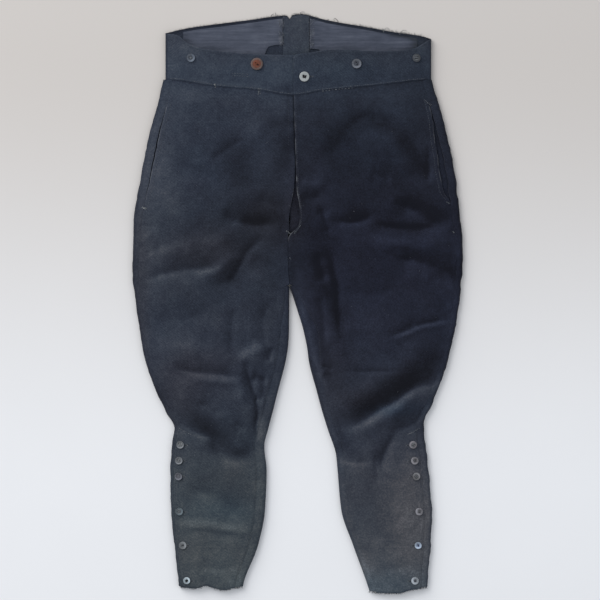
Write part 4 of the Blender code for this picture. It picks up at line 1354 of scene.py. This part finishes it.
def fringe(rng, x, y, z, way, reach, spread_by=0.5):
    """Lines of frayed ends that leave an edge and droop to the table."""
    lines = []
    t = np.linspace(0.0, 1.0, 5)
    for at_x, at_y, at_z in zip(x, y, z):
        length = reach * rng.uniform(0.3, 1.0) ** 1.5
        sideways = rng.normal(0.0, spread_by)
        curl = rng.normal(0.0, 0.35) * length
        lines.append(points_at(
            at_x + sideways * length * t + curl * t * t,
            at_y - way * 0.8 + way * (length + 0.8) * t,
            0.35 + (at_z - 0.35) * (1.0 - t ** 2) + 0.3 * np.sin(np.pi * t)))
    return lines
HEM_ENDS = {"right": (-196.0, -91.0), "left": (119.5, 215.5)}
FRAYED_TOP = [
    # side, from x, to x, frayed ends, their reach, lightness
    ("right", -214.0, -20.0, 150, 2.6, 0.1), ("left", -8.0, 216.0, 150, 2.4, 0.1),
    ("right", -60.0, -18.0, 40, 4.0, 0.2), ("left", 90.0, 205.0, 110, 4.6, 0.9),
    ("left", -10.0, 22.0, 60, 3.4, 0.6),
]

FRAYED_LINING = {"right": 130, "left": 120}


def frayed_edges(thread, pale):
    rng = np.random.default_rng(11)
    lines = []
    for side in SIDES:
        for shift, top in ((0.0, 1.0), (BACK_HEM_SHORTER, 0.0)):
            x = np.sort(rng.uniform(*HEM_ENDS[side], 170))
            edge = curve(HEM[side], x) + shift
            z = (height(side, x, edge) - rng.uniform(0.3, WALL, len(x))) * top
            z = z + (1.0 - top) * rng.uniform(0.4, WALL, len(x))
            lines += fringe(rng, x, edge, z, -1.0, 3.6)
    radii = rng.uniform(0.14, 0.34, len(lines))
    thread_tubes("frayed_hems", lines, radii, rng.uniform(-0.2, 0.5, len(lines)), thread,
                 "navy_wool")
    lines, tones = [], []
    for side, low, high, count, reach, tone in FRAYED_TOP:
        x = np.sort(rng.uniform(low, high, count))
        lines += fringe(rng, x, curve(BAND_TOP_BACK[side], x), rng.uniform(0.4, WALL, count),
                        1.0, reach)
        tones += list(tone * rng.uniform(0.4, 1.2, count))
    thread_tubes("frayed_waist_edge", lines, rng.uniform(0.12, 0.28, len(lines)), tones,
                 thread, "navy_wool")
    lines = []
    t = np.linspace(0, 1, 4)
    for side, count in FRAYED_LINING.items():
        inner = lining_inner(side)
        low = float(curve(LINING_BOTTOM[side], inner))
        high = float(curve(BAND_TOP_BACK[side], inner)) - LINING_BELOW_TOP
        for at in np.sort(rng.uniform(low, high, count)):
            length = 5.0 * rng.uniform(0.2, 1.0) ** 2
            lines.append(points_at(
                inner + INWARDS[side] * (length * t - rng.uniform(0, 7)),
                at + rng.normal(0, 0.9) * t * length,
                WALL + SEAM_GAP + LINING_THICKNESS + 1.2 + 0.5 * t))
    thread_tubes("frayed_lining_edge", lines, rng.uniform(0.13, 0.28, len(lines)),
                 rng.uniform(0.0, 0.6, len(lines)), pale, "blue_grey_lining")


LOOSE_THREADS = [
    # points on the table or cloth, height of its start, lightness
    ([(67, 458), (69, 465), (67, 471), (63, 475), (60, 473)], 1.6, -0.2),
    ([(143, 452), (147, 458), (151, 459), (153, 455)], 1.6, 0.9),
    ([(-45, 474), (-43, 480), (-39, 483)], 1.6, 0.1),
    ([(-38, 475), (-36, 482), (-37, 485)], 1.6, 0.1),
    ([(-139, 461), (-137, 466), (-133, 467)], 1.6, 0.2),
    ([(170, 448), (176, 455), (183, 454)], 1.6, 0.8),
    ([(2, 478), (6, 485), (12, 486)], 1.6, 0.6),
]

LINT = [
    # side, x, y, length of a hair that stands out
    ("right", -50.5, 267.5, 5.0), ("left", 93.6, 153.0, 3.4), ("left", 151.0, -19.0, 3.0),
    ("right", -16.0, 74.0, 4.0), ("right", -89.0, -138.0, 3.0), ("right", -130.0, -28.0, 3.0),
]

LINT_COUNT = 84


def loose_threads(thread, pale):
    lines = []
    for route, start, _ in LOOSE_THREADS:
        path = rounded_route(route, 6)
        t = np.linspace(0, 1, len(path))
        lines.append(np.column_stack([path, start * (1 - t) + 0.5 + 0.4 * np.sin(3 * t)]))
    thread_tubes("loose_threads", lines, [0.42] * len(lines),
                 [tone for _, _, tone in LOOSE_THREADS], thread, "navy_wool")

    rng = np.random.default_rng(17)
    lines = []
    for number in range(LINT_COUNT):
        side = SIDES[number % 2]
        y = rng.uniform(-455.0, 400.0)
        inner = CENTRE_BACK_X if y > CROTCH_Y else float(curve(INNER[side], y))
        outer = float(outer_x(side, y))
        x = outer + (inner - outer) * rng.uniform(0.12, 0.88)
        lines.append(lint_line(rng, side, x, y, rng.uniform(0.8, 2.6)))
    lines += [lint_line(rng, *hair) for hair in LINT]
    thread_tubes("lint", lines, rng.uniform(0.10, 0.24, len(lines)),
                 rng.uniform(0.0, 0.42, len(lines)), pale, "navy_wool")


def lint_line(rng, side, x, y, length):
    turn = rng.uniform(0.0, math.pi)
    t = np.linspace(-0.5, 0.5, 4)
    bow = rng.normal(0.0, 0.3) * length * (0.25 - t * t)
    on_x = x + length * t * math.cos(turn) - bow * math.sin(turn)
    on_y = y + length * t * math.sin(turn) + bow * math.cos(turn)
    return on_face(side, on_x, on_y, 0.25)[0]


SEWN_THROUGH = {        # threads over a button: along, across, turn, length, thickness; in radii
    "two holes": [(0.0, -0.10, 0, 0.6, 0.17), (0.0, 0.0, 2, 0.66, 0.17),
                  (0.0, 0.10, -3, 0.6, 0.17)],
    "spread": [(0.08, -0.44, 3, 0.9, 0.24), (0.0, 0.0, -4, 1.3, 0.26),
               (-0.06, 0.44, 2, 0.9, 0.24)],
    "four holes": [(0.0, -0.20, 0, 0.6, 0.2), (0.0, 0.20, 4, 0.6, 0.2),
                   (-0.20, 0.0, 90, 0.6, 0.2), (0.20, 0.0, 86, 0.6, 0.2)],
    "slanting": [(-0.28, 0.0, 80, 0.80, 0.22), (0.27, -0.03, 98, 0.78, 0.24),
                 (-0.06, 0.05, 50, 0.66, 0.2), (0.12, -0.14, 66, 0.5, 0.22)],
    "knot": [(0.10, 0.0, 60, 0.44, 0.26), (0.08, 0.05, -20, 0.36, 0.26)],
}

BUTTONS = {
    # node: slot, edge colour, middle colour, edge of the middle, holes, sewing, lightness, turn
    "waist_button_1": ("button_grey", (0.078, 0.096, 0.128), (0.030, 0.039, 0.056),
                       0.56, 2, "two holes", 0.55, 60),
    "waist_button_2": ("button_brown", (0.105, 0.066, 0.056), (0.122, 0.033, 0.015),
                       0.70, 2, "knot", 0.0, -40),
    "waist_button_3": ("button_white", (0.300, 0.318, 0.322), (0.285, 0.304, 0.308),
                       0.40, 4, "slanting", -0.9, 0),
    "waist_button_4": ("button_grey", (0.104, 0.114, 0.138), (0.036, 0.041, 0.056),
                       0.60, 2, "knot", 0.2, 140),
    "waist_button_5": ("button_dark", (0.044, 0.050, 0.060), (0.034, 0.037, 0.044),
                       0.50, 4, "spread", 0.62, 84),
    "calf_button_right_1": ("button_calf", (0.140, 0.150, 0.166), (0.066, 0.073, 0.084),
                            0.66, 2, "spread", 0.86, 18),
    "calf_button_right_2": ("button_calf", (0.150, 0.160, 0.178), (0.064, 0.070, 0.080),
                            0.66, 2, "spread", 0.72, 28),
    "calf_button_right_3": ("button_calf", (0.110, 0.116, 0.138), (0.060, 0.062, 0.080),
                            0.62, 4, "four holes", 0.60, 10),
    "calf_button_right_4": ("button_calf", (0.092, 0.118, 0.138), (0.052, 0.066, 0.078),
                            0.58, 2, "spread", 0.62, 70),
    "calf_button_right_5": ("button_calf", (0.166, 0.178, 0.192), (0.104, 0.112, 0.122),
                            0.55, 2, "knot", -0.1, 100),
    "calf_button_right_6": ("button_calf", (0.360, 0.425, 0.470), (0.180, 0.212, 0.240),
                            0.50, 4, "slanting", -0.4, 130),
    "calf_button_left_1": ("button_calf", (0.170, 0.160, 0.180), (0.080, 0.075, 0.087),
                           0.62, 4, "spread", 0.66, 62),
    "calf_button_left_2": ("button_calf", (0.180, 0.176, 0.196), (0.084, 0.082, 0.092),
                           0.60, 4, "knot", 0.5, 125),
    "calf_button_left_3": ("button_calf", (0.150, 0.150, 0.162), (0.058, 0.058, 0.064),
                           0.60, 4, "four holes", 0.55, -30),
    "calf_button_left_4": ("button_calf", (0.184, 0.182, 0.206), (0.098, 0.097, 0.110),
                           0.56, 4, "knot", 0.45, 100),
    "calf_button_left_5": ("button_calf", (0.340, 0.405, 0.500), (0.160, 0.205, 0.310),
                           0.58, 2, "two holes", -0.3, 175),
    "calf_button_left_6": ("button_calf", (0.300, 0.330, 0.370), (0.150, 0.165, 0.190),
                           0.50, 4, "four holes", 0.2, 150),
}

NARROWER = {"calf_button_right_6": 0.92, "calf_button_left_5": 0.92, "waist_button_3": 0.96}
PLAIN_BUTTON = "waist_button_3"         # broad rim, shallow dish, its thread on top
BUTTON_FIT = 0.485                      # radius of a turned button in its solid's width
BUTTON_THICK = {"calf": 0.38, "waist": 0.34}    # in radii


def button_place(node):
    """X and Y of a solid button's middle, and its width."""
    low, high = (np.array(corner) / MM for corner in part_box(node))
    return (*(0.5 * (low + high)[:2]), float(high[1] - low[1]))


def turned_disc(radius, thick, rim, dish, holes):
    """A button with a rounded edge, a dished middle and sewing holes, its back on Z = 0."""
    disc = primitive(bpy.ops.mesh.primitive_cylinder_add, vertices=48, radius=radius * MM,
                     depth=thick * MM, end_fill_type="NGON", location=(0, 0, 0))
    disc.data.transform(Matrix.Translation((0, 0, 0.5 * thick * MM)))
    for face in disc.data.polygons:
        face.select = face.normal.z > 0.9
    bpy.ops.object.mode_set(mode="EDIT")
    bpy.ops.mesh.select_mode(type="FACE")
    for inset, sunk in ((rim * radius, dish), (0.16 * radius, 0.12 * thick)):
        bpy.ops.mesh.inset(thickness=inset * MM)
        bpy.ops.transform.translate(value=(0, 0, -sunk * MM))
    bpy.ops.object.mode_set(mode="OBJECT")
    apply_modifier(disc, "Rounded edges", "BEVEL", width=0.17 * thick * MM, segments=3,
                   limit_method="ANGLE", angle_limit=math.radians(25))
    out = 0.25 * radius * MM
    for number in range(holes):
        turn = 2.0 * math.pi * (number + (0.5 if holes == 4 else 0.0)) / holes
        drill = primitive(
            bpy.ops.mesh.primitive_cylinder_add, vertices=14, radius=0.125 * radius * MM,
            depth=4.0 * thick * MM, location=(out * math.cos(turn), out * math.sin(turn), 0))
        bpy.ops.object.select_all(action="DESELECT")
        disc.select_set(True)
        bpy.context.view_layer.objects.active = disc
        apply_modifier(disc, "Sewing hole", "BOOLEAN", operation="DIFFERENCE", object=drill)
        bpy.data.objects.remove(drill)
    bpy.ops.object.shade_smooth_by_angle(angle=math.radians(38))
    return disc


def seat_on_cloth(side, x, y, radius):
    """Where a button rests on the cloth under it, and the way it faces there."""
    turn = np.linspace(0.0, 2.0 * np.pi, 12, endpoint=False)
    ring, _ = on_face(side, x + 0.9 * radius * np.cos(turn), y + 0.9 * radius * np.sin(turn))
    facing = unit(np.cross(ring[3] - ring[9], ring[6] - ring[0]))
    middle = np.array([x, y, float(face_at(side, x, y))])
    return middle + facing * (max(0.0, float(((ring - middle) @ facing).max())) + 0.1), facing


def buttons(shape, materials, thread):
    """Every button on its own place, laid on the cloth, with the thread through its holes."""
    rng = np.random.default_rng(23)
    masters = {}
    sewing = Gathered()
    for node, (slot, rim, middle, border, holes, sewn, light, turn) in BUTTONS.items():
        x, y, width = button_place(node)
        radius = BUTTON_FIT * width * NARROWER.get(node, 1.0)
        side = "left" if node.startswith("calf_button_left") or x > -10.0 else "right"
        thick = BUTTON_THICK[node.split("_")[0]] * radius
        plain = node == PLAIN_BUTTON
        kind = (round(radius, 1), holes, border)
        if kind not in masters:
            masters[kind] = turned_disc(radius, thick, 0.30 if plain else 0.9 - border,
                                        0.10 if plain else 0.38, holes)
        button = masters[kind].copy()
        button.data = masters[kind].data.copy()
        bpy.context.scene.collection.objects.link(button)
        seat, facing = seat_on_cloth(side, x, y, radius)
        stand = (Vector(facing).to_track_quat("Z", "Y").to_matrix().to_4x4()
                 @ Matrix.Rotation(math.radians(turn), 4, "Z"))
        layer = button.data.uv_layers.active or button.data.uv_layers.new()
        layer.name = "face"
        for loop in button.data.loops:
            corner = button.data.vertices[loop.vertex_index].co
            layer.data[loop.index].uv = (corner.x / (radius * MM), corner.y / (radius * MM))
        for label, colour in (("rim", rim), ("middle", middle)):
            button.data.attributes.new(label, "FLOAT_COLOR", "POINT").data.foreach_set(
                "color", [*colour, border] * len(button.data.vertices))
        button.data.transform(Matrix.Translation(Vector(seat) * MM) @ stand)
        finished(button, node + "_turned", materials[slot], slot, node)

        across = np.array(stand.to_3x3() @ Vector((1, 0, 0)))
        top = seat + facing * (thick * 0.88 - (0.0 if plain else 0.3))
        beside = np.cross(facing, across)
        for off_x, off_y, lean, length, fat in SEWN_THROUGH[sewn]:
            lean = math.radians(lean)
            way = across * math.cos(lean) + beside * math.sin(lean)
            place = top + (across * off_x + beside * off_y) * radius
            sewing.stitches(shape, place[None], way[None], facing[None], length * radius,
                            fat * radius, light * rng.uniform(0.75, 1.1),
                            float(slot == "button_brown"))
    for master in masters.values():
        bpy.data.objects.remove(master)
    sewing.piece("button_threads", thread, "button_dark")


def small_pieces():
    thread, pale = sewing_thread(), pale_thread()
    shape = stitch_shape()
    seam_stitches(shape, thread)
    holes = [WAIST_HOLE]
    for side in SIDES:
        inwards = INWARDS[side]
        for number in range(1, 7):
            x, y, _ = button_place(f"calf_button_{side}_{number}")
            holes.append((side, x + inwards * CALF_HOLE["past_button"], y, CALF_HOLE["half"],
                          inwards * CALF_HOLE["lean"], CALF_HOLE["light"]))
    buttonholes(shape, thread, holes)
    frayed_edges(thread, pale)
    loose_threads(thread, pale)
    buttons(shape, button_finishes(), thread)


# ---------------------------------------------------------------------------- materials
class Value:
    """A socket of a material's nodes that can be added, multiplied and so on."""

    def __init__(self, finish, socket):
        self.finish = finish
        self.socket = socket

    def _math(self, operation, first, second):
        return self.finish.node("ShaderNodeMath", {"operation": operation},
                                {0: first, 1: second})

    def __add__(self, other):
        return self._math("ADD", self, other)

    def __mul__(self, other):
        return self._math("MULTIPLY", self, other)

    def __sub__(self, other):
        return self._math("SUBTRACT", self, other)

    def __rsub__(self, other):
        return self._math("SUBTRACT", other, self)

    def __truediv__(self, other):
        return self._math("DIVIDE", self, other)

    __radd__ = __add__
    __rmul__ = __mul__

    def between(self, low, high):
        """0 at low and below, 1 at high and above."""
        return self.finish.node("ShaderNodeMapRange", {"interpolation_type": "SMOOTHSTEP"},
                                {"Value": self, "From Min": low, "From Max": high})


class Finish:
    """A material under construction."""

    def __init__(self, name):
        self.material = bpy.data.materials.new(name)
        self.material.use_nodes = True
        self.tree = self.material.node_tree
        self.shader = self.tree.nodes["Principled BSDF"]

    def node(self, kind, settings, inputs, output=0):
        made = self.tree.nodes.new(kind)
        for name, value in settings.items():
            setattr(made, name, value)
        for name, value in inputs.items():
            self.feed(made.inputs[name], value)
        return Value(self, made.outputs[output])

    def feed(self, socket, value):
        if isinstance(value, Value):
            self.tree.links.new(value.socket, socket)
        elif isinstance(value, tuple) and len(value) == 3 and socket.type == "RGBA":
            socket.default_value = (*value, 1.0)
        else:
            socket.default_value = value

    def attribute(self, name, output=2):
        return self.node("ShaderNodeAttribute", {"attribute_name": name}, {}, output)

    def uv(self, name="cloth"):
        return self.node("ShaderNodeUVMap", {"uv_map": name}, {})

    def place(self):
        return self.node("ShaderNodeTexCoord", {}, {}, output=3)

    def stretched(self, vector, scale, turn=0.0):
        return self.node("ShaderNodeMapping", {}, {"Vector": vector, "Scale": scale,
                                                   "Rotation": (0.0, 0.0, turn)})

    def part_of(self, vector, axis):
        return self.node("ShaderNodeSeparateXYZ", {}, {0: vector}, output=axis)

    def noise(self, vector, scale, detail=3.0, roughness=0.55):
        return self.node("ShaderNodeTexNoise", {}, {"Vector": vector, "Scale": scale,
                                                    "Detail": detail, "Roughness": roughness})

    def wave(self, vector, scale, distortion):
        return self.node("ShaderNodeTexWave", {"wave_type": "BANDS", "bands_direction": "X"},
                         {"Vector": vector, "Scale": scale, "Distortion": distortion,
                          "Detail": 1.0}, output=1)

    def cells(self, vector, scale):
        return self.node("ShaderNodeTexVoronoi", {}, {"Vector": vector, "Scale": scale})

    def mix(self, share, first, second, blend="MIX"):
        return self.node("ShaderNodeMix", {"data_type": "RGBA", "blend_type": blend},
                         {0: share, 6: first, 7: second}, output=2)

    def tinted(self, colour, shift, low, high):
        """A colour multiplied by one at a shift of -1, and by another at 1."""
        return self.mix(1.0, colour, self.mix(shift.between(-1.0, 1.0), low, high), "MULTIPLY")

    def ramp(self, level, *stops):
        """Colours mixed between the places where they stand: place, colour."""
        made = self.node("ShaderNodeValToRGB", {}, {"Fac": level})
        elements = made.socket.node.color_ramp.elements
        while len(elements) < len(stops):
            elements.new(0.5)
        for element, (place, colour) in zip(elements, stops):
            element.position = place
            element.color = (*colour, 1.0)
        return made

    def bump(self, high, distance, strength):
        return self.node("ShaderNodeBump", {}, {"Height": high, "Distance": distance,
                                                "Strength": strength})

    def set(self, **inputs):
        for name, value in inputs.items():
            self.feed(self.shader.inputs[name.replace("_", " ")], value)
        return self.material


def navy_wool():
    """Fulled navy wool: a faint twill under a short nap, faded where it is rubbed."""
    wool = Finish("navy wool")
    cloth = wool.uv()
    nap = wool.noise(wool.stretched(cloth, (1.0, 0.45, 1.0), 0.5), 900.0, 3.0, 0.7)
    tufts = wool.noise(cloth, 330.0, 4.0, 0.65)
    mottle = wool.noise(cloth, 95.0, 4.0, 0.6)
    clouds = wool.noise(cloth, 16.0, 3.0, 0.5)
    twill = wool.wave(wool.stretched(cloth, (1.0, 1.0, 1.0), math.radians(62)), 130.0, 1.2)
    # shade carries painted light and shade of the folds, slopes and edges, with fading and uneven
    # tone
    shade = wool.attribute("shade")
    wear = wool.attribute("wear")

    level = (0.5 + shade + (tufts - 0.5) * 0.84 + (mottle - 0.5) * 0.42 + (clouds - 0.5) * 0.30
             + (nap - 0.5) * 0.36)
    ground = wool.ramp(
        (level + 0.1) / 1.5,
        (0.0, (0.0046, 0.0058, 0.0098)), (0.067, (0.0060, 0.0076, 0.0126)),
        (0.28, (0.0130, 0.0173, 0.0270)), (0.433, (0.0210, 0.0282, 0.0425)),
        (0.6, (0.0370, 0.0483, 0.0650)), (0.733, (0.0620, 0.0740, 0.0890)),
        (1.0, (0.1400, 0.1620, 0.1900)))
    ground = wool.tinted(ground, wool.attribute("tint"), (0.92, 0.82, 1.06), (1.10, 1.08, 0.90))
    warm = wool.attribute("warm") + (wool.noise(cloth, 14.0) - 0.5) * 0.8
    ground = wool.tinted(ground, warm, (0.90, 1.03, 1.06), (1.12, 0.985, 0.90))
    rubbed = (wear * (0.55 + tufts * 0.9)).between(0.08, 1.05)
    colour = wool.mix(rubbed, ground, (0.185, 0.195, 0.215))
    lint = wool.cells(cloth, 150.0)
    fleck = (1.0 - lint.between(0.03, 0.10)) * wool.noise(cloth, 34.0, 1.0).between(0.62, 0.70)
    colour = wool.mix(fleck * 0.35, colour, (0.30, 0.31, 0.33))
    relief = twill * 0.35 + nap * 0.45 + tufts * 0.6 + mottle * 0.5
    return wool.set(Base_Color=colour, Roughness=0.95, Normal=wool.bump(relief, 0.0009, 0.8),
                    Sheen_Weight=0.07, Sheen_Roughness=0.5, Specular_IOR_Level=0.15,
                    Sheen_Tint=(0.85, 0.88, 1.0))


def lining_cloth():
    """Blue-grey woven lining, whitish along its edge."""
    lining = Finish("blue grey lining")
    cloth = lining.uv()
    warp = lining.wave(cloth, 520.0, 1.0)
    weft = lining.wave(lining.stretched(cloth, (1.0, 1.0, 1.0), math.radians(90)), 480.0, 1.0)
    slub = lining.noise(lining.stretched(cloth, (1.0, 5.0, 1.0)), 70.0, 4.0, 0.65)
    stain = lining.noise(cloth, 30.0, 4.0, 0.6)
    wear = lining.attribute("wear")
    shade = lining.attribute("shade")
    drawn = lining.noise(lining.stretched(cloth, (0.22, 5.0, 1.0)), 60.0, 4.0, 0.6)
    level = (0.46 + shade + (slub - 0.5) * 0.5 + (stain - 0.5) * 0.5 + (warp - 0.5) * 0.06
             + (drawn - 0.5) * 0.65)
    ground = lining.ramp(level, (0.0, (0.026, 0.032, 0.044)), (0.3, (0.041, 0.049, 0.072)),
                         (0.6, (0.067, 0.077, 0.108)), (1.0, (0.120, 0.136, 0.172)))
    colour = lining.mix((wear * (0.5 + stain)).between(0.1, 1.1), ground, (0.42, 0.44, 0.50))
    relief = warp * 0.5 + weft * 0.5 + slub * 0.6
    return lining.set(Base_Color=colour, Roughness=0.8, Sheen_Weight=0.1,
                      Specular_IOR_Level=0.2, Normal=lining.bump(relief, 0.0004, 0.6))


def table_top():
    """A pale table, with painted shade that makes it darker and warmer towards its far end."""
    table = Finish("pale table")
    grain = table.noise(table.place(), 3.0)
    colour = table.mix(grain, (0.770, 0.780, 0.805), (0.810, 0.820, 0.845))
    # painted shade: darker and warmer towards the far end
    far = table.part_of(table.place(), 1).between(-0.34, 0.45)
    return table.set(Base_Color=table.mix(far, colour, (0.566, 0.536, 0.514)), Roughness=0.9,
                     Specular_IOR_Level=0.1)


def sewing_thread():
    """Twisted thread, from near black through blue grey to worn white by its shade."""
    thread = Finish("sewing thread")
    shade = thread.attribute("shade")
    fuzz = thread.noise(thread.place(), 1500.0, 2.0)
    level = shade * 0.72 + 0.25 + (fuzz - 0.5) * 0.16
    colour = thread.ramp(level, (0.0, (0.004, 0.004, 0.006)), (0.22, (0.014, 0.017, 0.025)),
                         (0.45, (0.050, 0.058, 0.075)), (0.75, (0.160, 0.170, 0.180)),
                         (1.0, (0.330, 0.340, 0.340)))
    colour = thread.mix(thread.attribute("warm"), colour, (0.120, 0.036, 0.018))
    return thread.set(Base_Color=colour, Roughness=0.8, Specular_IOR_Level=0.25,
                      Normal=thread.bump(fuzz, 0.0002, 0.6))


def pale_thread():
    """Lint and the frayed whitish yarn of the lining."""
    thread = Finish("pale lint")
    shade = thread.attribute("shade")
    fuzz = thread.noise(thread.place(), 1100.0, 2.0)
    colour = thread.mix((shade + (fuzz - 0.5) * 0.4).between(0.0, 1.0), (0.07, 0.08, 0.10),
                        (0.34, 0.36, 0.40))
    return thread.set(Base_Color=colour, Roughness=0.85, Specular_IOR_Level=0.2)
BUTTON_FINISHES = [
    # slot, roughness, mottling, how much lighter one half is with a painted highlight
    ("button_white", 0.32, 0.12, 0.08), ("button_brown", 0.34, 0.50, 0.35),
    ("button_grey", 0.40, 0.50, 0.40), ("button_dark", 0.50, 0.70, 0.30),
    ("button_calf", 0.34, 0.50, 0.42),
]


def button_finishes():
    """A finish for each kind of button; its two colours are carried by the button."""
    made = {}
    for slot, roughness, mottle, highlight_share in BUTTON_FINISHES:
        finish = Finish(slot.replace("_", " "))
        face = finish.uv("face")
        from_middle = finish.node("ShaderNodeVectorMath", {"operation": "LENGTH"}, {0: face},
                                  output=1)
        cloud = finish.noise(face, 2.6, 4.0, 0.62)
        grain = finish.noise(face, 14.0, 3.0, 0.6)
        rim = finish.attribute("rim", 0)
        middle = finish.attribute("middle", 0)
        border = finish.attribute("rim", 3)
        edge = (from_middle + (cloud - 0.5) * 0.16 - border).between(-0.09, 0.09)
        colour = finish.mix(edge, middle, rim)
        # painted highlight: one half of the face lighter, turned with the button
        gleam = (finish.part_of(face, 0) * 0.8 + (cloud - 0.5) * 1.2 + 0.1).between(-0.9, 0.9)
        mottle_and_highlight = (((1.0 - mottle * 0.5) + (cloud - 0.42) * (2.2 * mottle) + (grain - 0.5) * mottle)
                * ((1.0 - highlight_share) + gleam * (2.1 * highlight_share)))
        shaded = finish.mix(1.0, colour, finish.node(
            "ShaderNodeCombineColor", {}, {0: mottle_and_highlight, 1: mottle_and_highlight, 2: mottle_and_highlight}), "MULTIPLY")
        made[slot] = finish.set(Base_Color=shaded, Roughness=roughness + (grain - 0.5) * 0.2,
                                Specular_IOR_Level=0.45,
                                Normal=finish.bump(grain * 0.4 + cloud, 0.00025, 0.5))
    return made


# ------------------------------------------------------------------------------ the scene
FRAME_WIDTH = 1.0                   # metres of table across the view
VIEW_HEIGHT = 5.0
VIEW_CENTRE = (0.0044, 0.0058)
SENSOR = 36.0
SKY = (0.93, 0.96, 1.0)


def soft_lamp(name, place, size, power, colour):
    lamp = bpy.data.lights.new(name, "AREA")
    lamp.shape = "SQUARE"
    lamp.size = size
    lamp.energy = power
    lamp.color = colour
    lit = bpy.data.objects.new(name, lamp)
    bpy.context.scene.collection.objects.link(lit)
    lit.location = place
    lit.rotation_euler = (-Vector(place)).to_track_quat("-Z", "Y").to_euler()


def studio():
    """The table, the light of a window and a room, and the camera straight above."""
    table = primitive(bpy.ops.mesh.primitive_plane_add, size=14.0, location=(0, 0, -0.0004))
    table.name = table.data.name = "table_top"
    table.data.materials.append(table_top())
    table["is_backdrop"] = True

    soft_lamp("window light", (-3.6, 3.9, 3.1), 4.6, 325.0, (1.0, 0.985, 0.96))
    soft_lamp("room light", (2.4, -1.6, 2.6), 2.6, 12.0, SKY)
    world = bpy.data.worlds.new("soft sky")
    world.use_nodes = True
    backdrop = world.node_tree.nodes["Background"]
    backdrop.inputs["Color"].default_value = (*SKY, 1.0)
    backdrop.inputs["Strength"].default_value = 0.66
    scene = bpy.context.scene
    scene.world = world
    scene.view_settings.view_transform = "Standard"

    camera = bpy.data.cameras.new("view from above")
    camera.sensor_width = SENSOR
    camera.lens = SENSOR * VIEW_HEIGHT / FRAME_WIDTH
    eye = bpy.data.objects.new("view from above", camera)
    scene.collection.objects.link(eye)
    eye.location = (*VIEW_CENTRE, VIEW_HEIGHT)
    scene.camera = eye


def corners(box):
    return [[round(value, 5) for value in corner] for corner in box]


def main():
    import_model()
    solid_box = corners(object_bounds())
    wool, lining = navy_wool(), lining_cloth()
    cloth_pieces(wool, lining)
    small_pieces()
    studio()
    {"solids": solid_box, "scene": corners(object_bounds())}


main()
